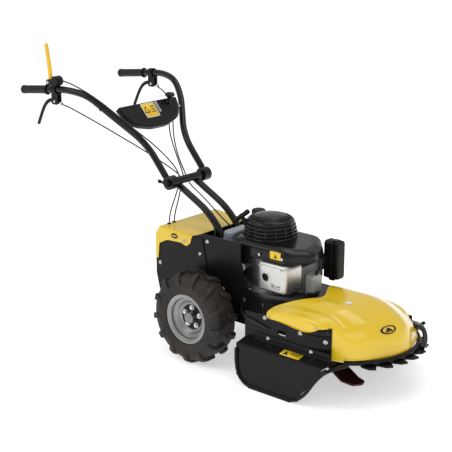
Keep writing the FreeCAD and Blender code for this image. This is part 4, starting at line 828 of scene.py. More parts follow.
def recoil_dome():
    """Starter dome: stepped cooling rings, a vented ring of ribs and a raised cap."""
    profile = [(86, 1.3), (97.5, 1.3), (98, 5), (96.8, 8.2), (91, 9.1), (90.6, 12), (94.6, 12.9), (95, 18.9),
               (93.6, 20.9), (88.4, 21.7), (88, 24.7), (92.2, 25.7), (92.4, 31.5), (91, 33.5), (86, 34.3),
               (85.6, 37.3), (89.4, 38.3), (89.2, 44.1), (87.4, 46.6), (82.4, 47.4), (82, 50.4), (85.4, 51.7),
               (84.6, 57.3), (82, 61.1), (78, 64.3), (74, 66.2), (73, 64.3), (58, 67.4), (57, 71.2),
               (55, 73.8), (48, 76.4), (30, 78.6), (12, 79.4), (0, 79.4)]
    lathe("recoil_dome_shell", [(r, DOME_LOW + h) for r, h in profile], (CRANK_X, 0, 0), "black_gloss",
          replaces=("recoil_dome",), steps=96, closed=False)
    ribs = dome_fins("recoil_dome_ribs", 36, 0.5, 2.4,
                     [(57.5, 64.3), (57.5, 72.6), (66, 70.8), (73, 68), (75, 66.3), (75, 61.7)])
    weighted(bevelled(ribs, 0.8, 2, 40))
    # upright bars that bridge the cooling rings
    weighted(dome_fins("recoil_dome_bars", 16, 0.25, 3.0, [(90, 3.8), (96.4, 6.3), (93.8, 21.4), (91.4, 34),
                                                           (88.4, 46.6), (84, 54.2), (80, 54.2)]))
    lathe("rope_guide", [(3, 14), (6, 15), (9.4, 13.5), (10, 11), (9, 2), (9, -8), (3, -8)],
          (86.6, -60, 487.2), "black_plastic", steps=28, way=(-0.6, 0, 0.8))


def cut_out(item, cutters):
    """Cuts the shapes out of a piece and drops them."""
    for cutter in cutters:
        tool = item.modifiers.new("cut", "BOOLEAN")
        tool.operation = "DIFFERENCE"
        tool.solver = "EXACT"
        tool.object = cutter
    applied(item)
    for cutter in cutters:
        bpy.data.objects.remove(cutter)


def cutter_of(name, points, faces):
    """A closed shape that is only there to be cut out of a piece."""
    item = bpy.data.objects.new(name, outward(mesh_of(name, points, faces)))
    bpy.context.scene.collection.objects.link(item)
    return item


def round_cutter(name, centre, radius, depth, steps=40):
    """A round shape along Y to cut a hole with."""
    x, y, z = centre
    points = [(x + radius * math.cos(2 * math.pi * k / steps), y + d,
               z + radius * math.sin(2 * math.pi * k / steps)) for d in (-depth, depth) for k in range(steps)]
    faces = [(k, (k + 1) % steps, steps + (k + 1) % steps, steps + k) for k in range(steps)]
    return cutter_of(name, points, faces + [tuple(range(steps)), tuple(range(steps, 2 * steps))])


def muffler_guard():
    """Pressed guard over the muffler with the exhaust hole and slanted louvres."""
    outline = arc_corners([(206, 287, 12), (332, 287, 12), (332, 389, 18), (206, 389, 12)], 6)
    count = len(outline)
    points = [(x, y, z) for y in (-51, -134) for x, z in outline]
    faces = [(i, (i + 1) % count, count + (i + 1) % count, count + i) for i in range(count)]
    faces.append(tuple(range(count, 2 * count)))
    mesh = mesh_of("muffler_guard_shell", points, faces)
    outward(mesh)
    guard = put("muffler_guard_shell", mesh, "pressed", "root", ("muffler_guard",))
    bevelled(guard, 11, 5, 50)
    thickened(guard, 1.6)
    applied(guard)
    cutters = [round_cutter("hole", (241, -135, 338), 14, 12)]
    box = [(0, 1, 3, 2), (4, 5, 7, 6), (0, 1, 5, 4), (2, 3, 7, 6), (0, 2, 6, 4), (1, 3, 7, 5)]
    louvres = (316, 307)
    for i, z in enumerate(louvres):
        points = [(270 + dx, -135 + dy, z + dz - 0.09 * dx)
                  for dx in (0, 34) for dy in (-9, 9) for dz in (0, 3.4)]
        cutters.append(cutter_of(f"slot{i}", points, box))
    cut_out(guard, cutters)
    guard.data.shade_smooth()
    guard.data.set_sharp_from_angle(angle=math.radians(35))
    for i, z in enumerate(louvres):
        points = []
        for k in range(9):
            f = k / 8
            bulge = math.sin(math.pi * f) ** 0.5
            x = 268 + 38 * f
            for dy, dz in ((0.3, 8.2), (-1.6 * bulge - 0.2, 6.4), (-4.4 * bulge - 0.2, 3.4), (-bulge, 3.2)):
                points.append((x, -134 + dy, z + dz - 0.09 * (x - 270)))
        item = put(f"muffler_louvre_{i}", outward(mesh_of(f"muffler_louvre_{i}", points, grid_faces(9, 4))),
                   "pressed")
        thickened(item, 0.8)
    lathe("exhaust_lip", [(13.2, -134.8), (14.8, -136.4), (16.6, -136.2), (17.6, -134.2), (15, -133.4),
                          (13.2, -132.6)], (241, 0, 338), "pressed", steps=40, way=(0, 1, 0))
    lathe("exhaust_pipe", [(10.6, -130), (11.8, -130), (11.8, -112), (0, -112), (0, -114), (10.6, -114)],
          (241, 0, 338), "steel", steps=32, closed=False, way=(0, 1, 0))
    for i, (x, z) in enumerate(((312, 378), (218, 377), (318, 298))):
        dome_bolt(f"guard_screw_{i}", (x, -134.2, z), (0, -1, 0), radius=4.6, height=3.2)


def valve_cover():
    """Pressed rocker cover with a rolled rim and four screws."""
    levels = [(-3, 328), (-3, 331), (0, 332.5), (0.5, 350), (2.5, 356), (6, 360), (11, 362)]
    count, last = 64, len(levels) - 1
    outline = resampled(arc_corners([(-20, 270, 10), (34, 270, 10), (34, 336, 10), (-20, 336, 10)]), count)
    points = [(x, y, z) for distance, x in levels for y, z in inset(outline, distance)]
    faces = grid_faces(len(levels), count, wrap_columns=True)
    faces += [tuple(range(count * last, count * len(levels))), tuple(range(count))]
    weighted(skin("valve_cover_shell", points, faces, "pressed_soft", replaces=("valve_cover",)))
    for i, (y, z) in enumerate(((-19, 271), (33, 271), (33, 335), (-19, 335))):
        hex_bolt(f"valve_screw_{i}", (331, y, z), (1, 0, 0), 3.6, 4)
    lathe("breather_stub", [(0, 0), (5, 0), (5, 12), (4, 14), (0, 14)], (352, 8, 336), "black_plastic",
          steps=20, closed=False)


def air_cleaner():
    """Two-part black filter box, long side across the engine: body, seam and lid with a snap clip."""
    outline = [(84, 300, 12), (130, 300, 12), (130, 437, 12), (84, 437, 12)]
    prism("air_cleaner_box", outline, "YZ", 324, 360, "black_plastic", "root", ("air_cleaner",), bevel=3)
    prism("air_cleaner_seam", [(85.6, 302, 10), (128.4, 302, 10), (128.4, 435, 10), (85.6, 435, 10)], "YZ",
          359.5, 363.5, "black_plastic")
    prism("air_cleaner_lid", outline, "YZ", 363, 384, "black_plastic", bevel=7, segments=4)
    prism("air_cleaner_panel", [(94, 314, 8), (120, 314, 8), (120, 423, 8), (94, 423, 8)], "YZ", 383.4, 384.8,
          "black_plastic", bevel=0.6)
    prism("air_cleaner_clip", [(352, 435, 2), (372, 435, 2), (372, 439.5, 2), (352, 439.5, 2)], "XZ", 96, 118,
          "black_plastic", bevel=1)
    prism("air_cleaner_foot", [(338, 292, 3), (362, 292, 3), (362, 302), (338, 302)], "XZ", 96, 108,
          "black_plastic", bevel=1.5)
    tube("intake_elbow", [(330, 96, 352), (322, 90, 352), (314, 82, 352), (306, 74, 350)], 10,
         "black_plastic")


def fuel_tank():
    """Moulded tank with a weld seam, and its neck."""
    base = [(-3, -80, 16), (44, -80, 16), (44, 105, 16), (-3, 105, 16)]
    prism("fuel_tank_lower", base, "XY", 388, 415, "tank", "root", ("fuel_tank",), bevel=7, segments=4)
    prism("fuel_tank_seam", [(-5, -82, 17), (46, -82, 17), (46, 107, 17), (-5, 107, 17)], "XY", 413, 416.5,
          "tank", bevel=0.8)
    prism("fuel_tank_upper", base, "XY", 415, 444, "tank", bevel=9, segments=4)
    lathe("fuel_tank_neck", [(14, 440), (23, 440), (21, 446), (17.5, 450), (17, 483), (14, 483)], (27, 86, 0),
          "tank", steps=40)


def fuel_cap():
    """Black screw cap with grip flutes round its skirt."""
    points, steps, flutes = [], 96, 24
    rings = [(20, 476), (25.2, 476.5), (26, 478.5), (25.4, 489), (24.2, 492), (21.6, 493.6), (18, 494),
             (17.4, 493), (6, 493), (5, 493.8), (0.01, 493.8)]
    for r, z in rings:
        for k in range(steps):
            a = 2 * math.pi * k / steps
            flute = 0.9 * (0.5 + 0.5 * math.cos(a * flutes)) if 478 < z < 490 else 0
            points.append((27 + (r - flute) * math.cos(a), 86 + (r - flute) * math.sin(a), z))
    faces = grid_faces(len(rings), steps, wrap_columns=True) + [tuple(range(steps))]
    weighted(skin("fuel_cap_fluted", points, faces, "black_plastic", "fuel_cap", ("fuel_cap",), weld=WELD))


def oil_cap():
    """Light dipstick cap with a finger bar."""
    lathe("oil_cap_disc", [(0, 113.5), (12, 113.5), (16.4, 114), (17, 116), (16.6, 121.5), (15, 123.3),
                           (12.6, 123.6), (12, 122.6), (0, 122.6)], (119, 0, 344), "cap_grey", "oil_cap",
          ("oil_cap",), steps=40, closed=False, way=(0, -1, 0))
    prism("oil_cap_bar", [(112, 331.5, 3), (126, 331.5, 3), (121.5, 344, 6), (126, 356.5, 3), (112, 356.5, 3),
                          (116.5, 344, 6)], "XZ", -132.8, -121, "cap_grey", "oil_cap", bevel=1.6)


def starter():
    """Rope handle of the recoil starter, and the short run of its rope into the dome's guide."""
    across = Vector((0.8, 0, 0.6))
    way = Vector((-0.6, 0, 0.8))
    handle = Vector((72, -60, 508))
    lathe("starter_handle", [(0, -38), (6, -37.6), (8.6, -35), (9.2, -30), (8.4, -18), (8.8, -6), (9.3, 0),
                             (8.8, 6), (8.4, 18), (9.2, 30), (8.6, 35), (6, 37.6), (0, 38)], handle,
          "black_plastic", "starter", ("starter_grip",), steps=28, closed=False, way=across)
    lathe("starter_collar", [(0, -12), (4.5, -12), (6.2, -10), (7.2, -3), (7.2, 2), (0, 2)], handle,
          "black_plastic", "starter", steps=24, closed=False, way=way)
    end = handle - way * 4
    count, sides, radius, shown, twist = 60, 10, 2.1, 30, 0.35
    side = way.orthogonal().normalized()
    other = way.cross(side)
    points = []
    for i in range(count):
        centre = end - way * (shown * i / (count - 1))
        for k in range(sides):
            a = 2 * math.pi * k / sides + i * twist
            points.append(tuple(centre + side * radius * math.cos(a) + other * radius * math.sin(a)))
    faces = grid_faces(count, sides, wrap_columns=True)
    faces += [tuple(range(sides)), tuple(range((count - 1) * sides, count * sides))]
    rope = skin("starter_rope", points, faces, "belt", None)
    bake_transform(rope)


# ---------------------------------------------------------------- handlebar
HANDLE = 252.0         # each handlebar, out from the middle
GRIP_WAY = Vector((-math.cos(math.radians(6.5)), 0, -math.sin(math.radians(6.5))))
HANDLE_BEND = Vector((-612, 0, 899))
HANDLE_END = HANDLE_BEND + GRIP_WAY * 235
LEVER_X = -664.0       # the clutch levers' pivots
TRAY_SLOPE = 49.5      # degrees that the tray's face leans


def ringed(name, rings, finish, body="root", replaces=()):
    """A capped skin over closed rings of the same number of points."""
    count, last = len(rings[0]), len(rings) - 1
    points = [tuple(p) for ring in rings for p in ring]
    faces = grid_faces(len(rings), count, wrap_columns=True)
    faces += [tuple(range(count)), tuple(range(last * count, (last + 1) * count))]
    return weighted(skin(name, points, faces, finish, body, replaces, weld=WELD / 4))


def grips():
    """Ribbed rubber grips: a flange, finger ridges along the sleeve and a rounded end."""
    length, steps = 142.0, 72
    for side, sign in SIDES:
        start = HANDLE_END - GRIP_WAY * (length - 4)
        start.y = sign * HANDLE
        across = Vector((0, 1, 0))
        up = GRIP_WAY.cross(across)
        profile = [(12.6, 0), (18.4, 0.2), (19.6, 1.6), (19.9, 3.2), (19.2, 5.2), (16.4, 7.2), (14.6, 9.4),
                   (14.2, 12), (15, 15)]
        for k in range(9):
            base = 18 + 12.5 * k
            profile += [(15.2, base), (15.5, base + 2), (15.5, base + 7.5), (15.1, base + 9.2),
                        (14, base + 10), (14, base + 11.4), (14.9, base + 12.2)]
        profile += [(15.3, 131.5), (16.2, 133), (16.5, 136), (16.2, 139.5), (14.6, 141.6), (11, 142),
                    (0.01, 142)]
        rings = []
        for r, h in profile:
            ring = []
            for k in range(steps):
                a = 2 * math.pi * k / steps
                ridge = 0.5 * (0.5 + 0.5 * math.cos(18 * a)) if 18 < h < 130 else 0
                ring.append(start + GRIP_WAY * h + (across * math.cos(a) + up * math.sin(a)) * (r - ridge))
            rings.append(ring)
        ringed(f"grip_{side}", rings, "grip", "handlebar", ("grips",) if side == "right" else ())


def sheet_frame():
    """The two directions of the console tray's face and its normal."""
    a = math.radians(TRAY_SLOPE)
    return Vector((math.cos(a), 0, -math.sin(a))), Vector((0, 1, 0)), Vector((math.sin(a), 0, math.cos(a)))


def on_tray(u, v, lift=0.0):
    down, across, normal = sheet_frame()
    return Vector((-442, 0, 840)) + down * u + across * v + normal * lift


def console_tray():
    """Moulded console with a rolled edge, a sunk panel, labels and two screws."""
    outline = arc_corners([(0, -153, 6), (40, -142, 40), (84, -112, 50), (104, -40, 120), (104, 40, 120),
                           (84, 112, 50), (40, 142, 40), (0, 153, 6)], 10)
    around = resampled(outline, 160)
    middle = 48.0

    def shrunk(distance, lift):
        return [on_tray(middle + (u - middle) * (1 - distance / 52), v * (1 - 1.5 * distance / 153), lift)
                for u, v in around]

    levels = ((2.2, -18), (2.2, -21.8), (0, -21.8), (0, -5), (0.7, -2.2), (2.4, -0.5), (4.6, 0), (7, -0.1),
              (8.4, -1.2), (10, -1.4), (30, -1.3), (51, -1.3))
    rings = [shrunk(distance, lift) for distance, lift in levels]
    ringed("console_tray_shell", rings, "black_plastic", "handlebar", ("console_tray",))
    sticker("console_label", [(5, -46), (5, 24), (66, 24), (66, -44)], "label_white", 0.5, 5)
    sticker("console_label_field", [(8, -43), (8, 21), (63, 21), (63, -41)], "label_yellow", 0.8, 4)
    sticker("console_label_sign", [(14, -29), (46, -12), (46, -42)], "label_black", 1.1, 3)
    sticker("console_label_sign_core", [(21, -28), (42, -17), (42, -37)], "label_yellow", 1.3, 2)
    for i in range(3):
        sticker(f"console_label_bar_{i}", [(20 + 11 * i, -6), (20 + 11 * i, 16), (24 + 11 * i, 16),
                                           (24 + 11 * i, -6)], "label_black", 1.1, 1)
    sticker("console_stripe", [(6, 30), (6, 40), (50, 40), (50, 30)], "label_white", 0.5, 2)
    sticker("console_stripe_mark", [(10, 33), (10, 37), (46, 37), (46, 33)], "label_black", 0.8, 1)
    for side, sign in SIDES:
        end = on_tray(34, sign * 150, -14)
        lathe(f"console_screw_{side}", [(0, 3.6), (3.2, 3.4), (5.6, 2.2), (6.2, 0), (0, 0)],
              (end.x, sign * 156.5, end.z), "zinc", "handlebar", steps=20, closed=False, way=(0, sign, 0))


def sticker(name, corners, finish, lift, round_off):
    """A thin label lying on the tray."""
    outline = arc_corners([(u, v, round_off) for u, v in corners], 4)
    points = [tuple(on_tray(u, v, lift - 0.5)) for u, v in outline]
    thickened(skin(name, points, [tuple(range(len(outline)))], finish, "handlebar"), 0.4, 0)


def selector_knob():
    """Mushroom pull knob on its rod, with a rubber collar where the rod enters the tray."""
    lathe("selector_knob_head", [(0, 864), (10, 863.6), (15.5, 861.4), (18.4, 857), (19, 852.6),
                                 (17.6, 849.6), (12, 847), (8, 846), (6.8, 842), (5, 838), (4, 836), (4, 790),
                                 (0, 790)], (-424, 100, 0), "black_gloss", "selector", ("selector_knob",),
          steps=48, closed=False)
    lathe("selector_collar", [(4.4, 4), (7, 4), (9, 1), (9.6, -2), (4.4, -2)], on_tray(14, 100, -2), "belt",
          "handlebar", steps=28, way=sheet_frame()[2])


def lever_blade(name, path, widths, thick, finish, body, replaces, y):
    """A flat bar of changing width along a bent line, with full-round edges."""
    rings = []
    count = len(path)
    for i, (x, z) in enumerate(path):
        here = Vector((x, 0, z))
        back = Vector((*path[max(0, i - 1)], 0))
        ahead = Vector((*path[min(count - 1, i + 1)], 0))
        along = Vector((ahead.x - back.x, 0, ahead.y - back.y)).normalized()
        out = Vector((along.z, 0, -along.x))
        wide = widths[i] / 2
        ring = []
        for k in range(20):
            a = 2 * math.pi * k / 20
            c, s = math.cos(a), math.sin(a)
            u = math.copysign(abs(c) ** 0.45, c) * wide
            v = math.copysign(abs(s) ** 0.6, s) * thick / 2
            ring.append(here + out * u + Vector((0, y + v, 0)))
        rings.append(ring)
    ringed(name, rings, finish, body, replaces)


def levers():
    """Clutch levers with a swept finger blade, and the yellow safety lever."""
    path = [(-655, 850), (-664, 850), (-676, 851), (-690, 851), (-703, 848), (-715, 841), (-726, 831),
            (-737, 816), (-747, 798), (-757, 778), (-765, 762), (-769.5, 751.5), (-770, 750.5)]
    widths = [14, 17.4, 17, 15.4, 14, 12.8, 12, 11.6, 11.4, 11.4, 11.4, 10.6, 6]
    for side, sign in SIDES:
        lever_blade(f"clutch_lever_{side}_blade", path, widths, 8.6, "black_plastic", f"{side}_lever",
                    (f"clutch_lever_{side}",), sign * HANDLE)
    path = [(-691, 910), (-691, 916), (-692, 930), (-694, 950), (-698, 985), (-703, 1015), (-707, 1040),
            (-709, 1052), (-709.4, 1057.4)]
    widths = [11, 17.2, 18, 17.6, 16.6, 15.8, 15, 14, 8]
    lever_blade("safety_lever_blade", path, widths, 9.6, "yellow_lever", "safety", ("safety_lever",),
                -HANDLE)


def controls():
    """Lever brackets with their clamp bands and pins, and the round switch housing."""
    middle = HANDLE_BEND + GRIP_WAY * ((HANDLE_BEND.x - LEVER_X) / -GRIP_WAY.x)
    for side, sign in SIDES:
        centre = middle - GRIP_WAY * 9
        centre.y = sign * HANDLE
        lathe(f"control_band_{side}", [(12.9, 0), (17.4, 0), (18, 0.8), (18, 10.4), (17.2, 11), (17.2, 13),
                                       (18, 13.6), (18, 23.2), (17.4, 24), (12.9, 24)], tuple(centre),
              "black_plastic", "handlebar", (f"{side}_control",), steps=44, way=tuple(GRIP_WAY))
        for cheek, low, high in (("a", -11, -5.6), ("b", 5.6, 11)):
            prism(f"control_cheek_{side}_{cheek}", [(-680.4, 838, 7), (-647.6, 838, 7), (-647.6, 881.5, 3),
                                                    (-680.4, 879, 3)], "XZ", sign * HANDLE + low,
                  sign * HANDLE + high, "black_plastic", "handlebar", bevel=1.2)
        prism(f"control_web_{side}", [(-679.5, 874.5), (-648, 874.5), (-648, 881.5), (-679.5, 879)], "XZ",
              sign * HANDLE - 5.8, sign * HANDLE + 5.8, "black_plastic", "handlebar")
        for end in (-1, 1):
            lathe(f"control_pin_{side}_{'ab'[end > 0]}", [(0, 2.2), (3.6, 2.2), (4.8, 1.4), (5.2, 0), (0, 0)],
                  (LEVER_X, sign * HANDLE + end * 11, 850), "zinc", "handlebar", steps=24, closed=False,
                  way=(0, end, 0))
        lathe(f"cable_adjuster_{side}", [(3, 0), (5.4, 0), (5.4, 5), (6.4, 5.4), (6.4, 10), (5.4, 10.4),
                                         (4.6, 17), (3, 17)], (-650, sign * HANDLE, 843.5), "zinc",
              "handlebar", steps=24, way=(1, 0, 0.04))
    centre = (-657, -HANDLE, 925)
    lathe("switch_housing", [(0, -15.6), (15.4, -15.6), (17.6, -15), (18.8, -13), (19, -10), (19, -1),
                             (18.4, -0.4), (18.4, 0.4), (19, 1), (19, 10), (18.8, 13), (17.6, 15),
                             (15.4, 15.6), (13, 15.6), (12.2, 14.8), (0, 14.8)], centre, "black_plastic",
          "handlebar", steps=56, closed=False, way=(0, 1, 0))
    for cheek, low, high in (("a", -15.5, -5.6), ("b", 5.6, 15.5)):
        prism(f"safety_cheek_{cheek}", [(-703, 908, 10), (-703, 929, 10), (-681, 929, 6), (-660, 927),
                                        (-656, 908, 3)], "XZ", -HANDLE + low, -HANDLE + high, "black_plastic",
              "handlebar", bevel=2)
    prism("safety_link", [(-672, 905.5), (-652, 905.5), (-652, 920), (-672, 920)], "XZ", -HANDLE - 6,
          -HANDLE + 6, "black_plastic", "handlebar")
    for end in (-1, 1):
        lathe(f"safety_pin_{'ab'[end > 0]}", [(0, 1.8), (4.2, 1.8), (5.2, 1), (5.6, 0), (0, 0)],
              (-692, -HANDLE + end * 15.5, 918), "zinc", "handlebar", steps=24, closed=False, way=(0, end, 0))
    lathe("cable_clip", [(12.8, -4), (15, -4), (15.6, -3), (15.6, 3), (15, 4), (12.8, 4)], (-470, -202, 841),
          "black_plastic", "handlebar", steps=32, way=(-0.62, -0.24, 0.74))


def clamp():
    """Ridged clamp discs at the tilt joint, the through bolt's nut and its wing knob."""
    rays = 36
    for side, sign in SIDES:
        rings = []
        for h, r, depth in ((88.2, 21, 0), (88.6, 24, 0), (88.6, 24.6, 0.7), (80, 25.1, 0.9), (74, 25.1, 0.9),
                            (72.4, 24, 0), (72.4, 15, 0)):
            ring = []
            for k in range(rays * 2):
                a = math.pi * k / rays
                rr = r - (depth if k % 2 else 0)
                ring.append(Vector((CLAMP.x + rr * math.cos(a), sign * h, CLAMP.z + rr * math.sin(a))))
            rings.append(ring)
        ringed(f"clamp_teeth_{side}", rings, "black_tube")
        profile = [(7, 105.6), (12, 105.6), (14, 104.8), (20.5, 104.8), (23.4, 103.6), (25.2, 101.4),
                   (25.4, 92), (24.6, 89.8), (23, 89.4), (7, 89.4)]
        lathe(f"clamp_ear_{side}", profile, (CLAMP.x, 0, CLAMP.z), "black_tube", "handlebar", steps=56,
              way=(0, sign, 0))
    lathe("clamp_washer", [(5.2, 106), (12.6, 106), (13, 107), (12.6, 108), (5.2, 108)],
          (CLAMP.x, 0, CLAMP.z), "zinc", steps=36, way=(0, 1, 0))
    hex_bolt("clamp_nut", (CLAMP.x, 107.5, CLAMP.z), (0, 1, 0), 9, 6.6)
    lathe("clamp_knob_hub", [(0, 121), (7, 120.8), (11, 119), (13, 115.4), (13, 108), (11.6, 106.2),
                             (0, 106.2)], (CLAMP.x, 0, CLAMP.z), "black_plastic", "root", ("clamp_bolt",),
          steps=44, closed=False, way=(0, -1, 0))
    tube("clamp_knob_arm", [(-242, -113, 580), (-256, -113.5, 581.4), (-266, -113.5, 582.4),
                            (-276, -113, 583.4)], 5, "black_plastic")
    lathe("clamp_knob_end", [(0, 8), (4, 7.4), (6.6, 5), (7, 0), (6, -5), (0, -6)], (-275, -113, 583.3),
          "black_plastic", steps=24, closed=False, way=(-1, 0, 0.1))
    tube("clamp_shank", [(-242, -109, 580), (-242, 0, 580), (-242, 109, 580)], 4.9, "zinc")


# Each cable's route: its run down the handlebar, then its run below the tilt joint
CABLES = {
    "safety": ([(-636, -252, 930), (-600, -250, 926), (-545, -240, 908), (-490, -222, 880), (-440, -190, 836),
                (-386, -140, 772), (-330, -96, 716), (-292, -60, 664), (-268, -34, 620), (-262, -24, 589.5)],
               [(-262, -24, 576), (-256, -38, 546), (-246, -70, 508), (-238, -98, 474), (-230, -114, 440),
                (-230, -114, 404)]),
    "clutch_right": ([(-646, -252, 842), (-610, -250, 838), (-560, -240, 820), (-500, -205, 784),
                      (-440, -160, 740), (-380, -112, 694), (-330, -70, 652), (-290, -34, 614),
                      (-268, -14, 589.5)],
                     [(-268, -14, 576), (-246, -26, 546), (-190, -28, 512), (-112, -28, 458), (-66, -40, 420),
                      (-54, -68, 388), (-44, -104, 330), (-36, -122, 272), (4, -127, 240), (106, -127, 240),
                      (150, -134, 238), (218, -243, 230), (326, -243, 208), (352, -232, 204),
                      (366, -210, 204)]),
    "clutch_left": ([(-646, 252, 842), (-606, 246, 834), (-556, 226, 812), (-500, 190, 782), (-448, 140, 746),
                     (-400, 92, 704), (-350, 56, 656), (-306, 34, 616), (-274, 22, 589.5)],
                    [(-274, 22, 576), (-250, 26, 546), (-190, 28, 512), (-112, 28, 458), (-66, 40, 420),
                     (-54, 68, 388), (-44, 96, 330), (-36, 108, 272)]),
    "selector": ([(-424, 100, 784), (-414, 84, 760), (-392, 62, 730), (-356, 36, 700), (-316, 16, 660),
                  (-286, 6, 622), (-268, 4, 589.5)],
                 [(-268, 4, 576), (-262, -16, 546), (-246, -46, 508), (-238, -70, 474), (-232, -86, 440),
                  (-232, -86, 404)]),
}


def line_of(points):
    """The points of a route's smooth line, in metres."""
    return [tuple(vertex.co) for vertex in curve_mesh(route_curve("route_line", points, 0)).vertices]


def cables():
    """Four control cables, each one sheath that runs past the tilt joint."""
    for name, (upper, lower) in CABLES.items():
        replaced = ("cables_upper", "cables_lower") if name == "safety" else ()
        sheath = tube(f"cable_{name}", upper + lower, 2.5, "sheath", None, replaced)
        path = line_of(upper + lower)
        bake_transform(sheath)


# ---------------------------------------------------------------- body fasteners
def body_bolts():
    """Domed screws on the side plates, uprights, deck and wings."""
    for label, places, face in (("case", ((-45, 364), (-65, 293), (-242, 292)), 150.2),
                                ("upright", ((-13, 415), (62, 258)), 147.0),
                                ("wing", ((341, 170.5), (521, 170.5)), 238.6)):
        for i, (x, z) in enumerate(places):
            for side, sign in SIDES:
                name = f"{label}_bolt_{side}_{i}"
                dome_bolt(name, (x, sign * face, z), (0, sign, 0), radius=7.2, height=4.8,
                          replaces=("body_bolts",) if name == "case_bolt_right_0" else ())
    for i, (x, z) in enumerate(((323, 239), (473, 222))):
        dome_bolt(f"deck_bolt_{i}", (x, -DECK_SIDE, z), (0, -1, 0), radius=7.6, height=5)
    dome_bolt("deck_bolt_low", (285, DECK_SIDE, 190), (0, 1, 0), radius=7.6, height=5)
    a = math.radians(-72)
    out = Vector((math.cos(a), math.sin(a), 0))
    dome_bolt("deck_bolt_corner", Vector((DECK_X, 0, 212)) + out * DECK_SIDE, out, radius=7.6, height=5)


def wing_labels():
    """A generic yellow sign plate on each wing's upper slope."""
    for side, sign in SIDES:
        def on_wing(u, v, lift):
            """A place u along X and v down the sloping shoulder from its top edge."""
            a = Vector((0, sign * 244, 156.8))
            b = Vector((0, sign * 283, 147.0))
            way = (b - a).normalized()
            normal = Vector((0, sign * 0.25, 0.97)).normalized()
            return a + way * v + Vector((u, 0, 0)) + normal * lift

        for name, corners, finish, lift in (
                ("plate", [(420, 4), (420, 34), (500, 34), (500, 4)], "label_yellow", 0.7),
                ("sign", [(428, 28), (448, 28), (438, 9)], "label_black", 1.0),
                ("bar_a", [(456, 9), (456, 13), (492, 13), (492, 9)], "label_black", 1.0),
                ("bar_b", [(456, 18), (456, 21), (488, 21), (488, 18)], "label_black", 1.0)):
            points = [tuple(on_wing(u, v, lift)) for u, v in arc_corners([(u, v, 1.2) for u, v in corners],
                                                                         3)]
            plate = skin(f"wing_label_{side}_{name}", points, [tuple(range(len(points)))], finish)
            thickened(plate, 0.5, 0)


# ---------------------------------------------------------------- badges
def on_cover(name, t_mid, y_mid, outline, finish, lift):
    """A thin badge that follows the cover: outline points are (t, y) offsets from the middle."""
    def lifted(t, y):
        x, z = cover_point(t, y)
        ax, az = cover_point(t + 0.004, y)
        bx, bz = cover_point(t, y + 2)
        along = Vector((ax - x, 0, az - z))
        across = Vector((bx - x, 2, bz - z))
        normal = along.cross(across).normalized()
        if normal.z < 0:
            normal.negate()
        return tuple(Vector((x, y, z)) + normal * lift)

    rings = [[lifted(t_mid + share * u, y_mid + share * v) for u,
              v in outline] for share in (1.0, 0.75, 0.5, 0.25)]
    count = len(outline)
    points = [p for ring in rings for p in ring] + [lifted(t_mid, y_mid)]
    faces = grid_faces(4, count, wrap_columns=True)
    faces += [(3 * count + k, 3 * count + (k + 1) % count, 4 * count) for k in range(count)]
    skin(name, points, faces, finish)


def badges():
    """A generic dark roundel and a pale disc on the cover, and a yellow notice on the shroud."""
    turns = [2 * math.pi * k / 40 for k in range(40)]
    ellipse = [(0.036 * math.cos(a), 32 * math.sin(a)) for a in turns]
    on_cover("cover_roundel", 0.81, -57, ellipse, "label_black", 1.2)
    on_cover("cover_roundel_field", 0.81, -57, [(u * 0.72, v * 0.72) for u, v in ellipse], "yellow", 1.5)
    on_cover("cover_roundel_wedge", 0.812, -57, [(u, v) for u, v in resampled([(-0.018, -4), (-0.018, 4),
                                                                               (0.016, 17), (0.016, -17)],
                                                                              32)], "label_black", 1.8)
    on_cover("cover_disc", 0.468, -80, [(0.02 * math.cos(a), 11 * math.sin(a)) for a in turns], "label_white",
             1.0)
    prism("shroud_notice", [(250, 404, 2), (296, 404, 2), (296, 431, 2), (250, 431, 2)], "XZ", -121.3, -119.5,
          "label_yellow")
    prism("shroud_notice_mark", [(268, 409), (280, 409), (274, 425)], "XZ", -121.7, -120, "label_black")


def front_comb():
    """Sheet comb with broad slanted teeth along the front, and the thick hoop that closes its left end."""
    root, tips = 246.0, 274.0
    count, start, step = 7, -44.0, 13.0
    outline = []
    for i in range(count):
        base = start + i * step
        for turn, r in ((0.6, root), (4.6, tips - 6), (9.4, tips), (10.4, tips - 9), (11.6, root)):
            a = math.radians(base + turn)
            outline.append((DECK_X + r * math.cos(a), r * math.sin(a)))
    for k in range(24):
        a = math.radians(start + count * step - count * step * k / 23)
        outline.append((DECK_X + 233 * math.cos(a), 233 * math.sin(a)))
    prism("front_comb_plate", outline, "XY", 135.5, 141.5, "black_paint", "root", ("front_comb",), bevel=0.8,
          segments=2)
    path = []
    for turn, r, z in ((60, 240, 151), (54, 244, 166), (46, 251, 178), (38, 257, 177), (31, 261, 165),
                       (25, 262, 152),
                       (19, 258, 144)):
        a = math.radians(turn)
        path.append((DECK_X + r * math.cos(a), r * math.sin(a), z))
    tube("front_hoop", path, 8.5, "black_tube")


def deck_trim():
    """Raised top of the deck's bent front corner, and the rolled hems that close each wing's front edge."""
    inner, outer = DECK_SIDE - 3, DECK_SIDE
    turns = [math.radians(-90 + 23 * k / 12) for k in range(13)]
    outline = [(DECK_X + outer * math.cos(a), outer * math.sin(a)) for a in turns]
    outline += [(DECK_X + inner * math.cos(a), inner * math.sin(a)) for a in turns[::-1]]
    prism("deck_corner_top", outline, "XY", 226, 260, "black_paint")
    for side, sign in SIDES:
        path = [(500, 11), (528, 33), (552, 65), (574, 98), (596, 130), (618, 147)]
        tube(f"wing_hem_{side}", [(x, sign * 287, z) for x, z in path], 6.5, "black_paint")


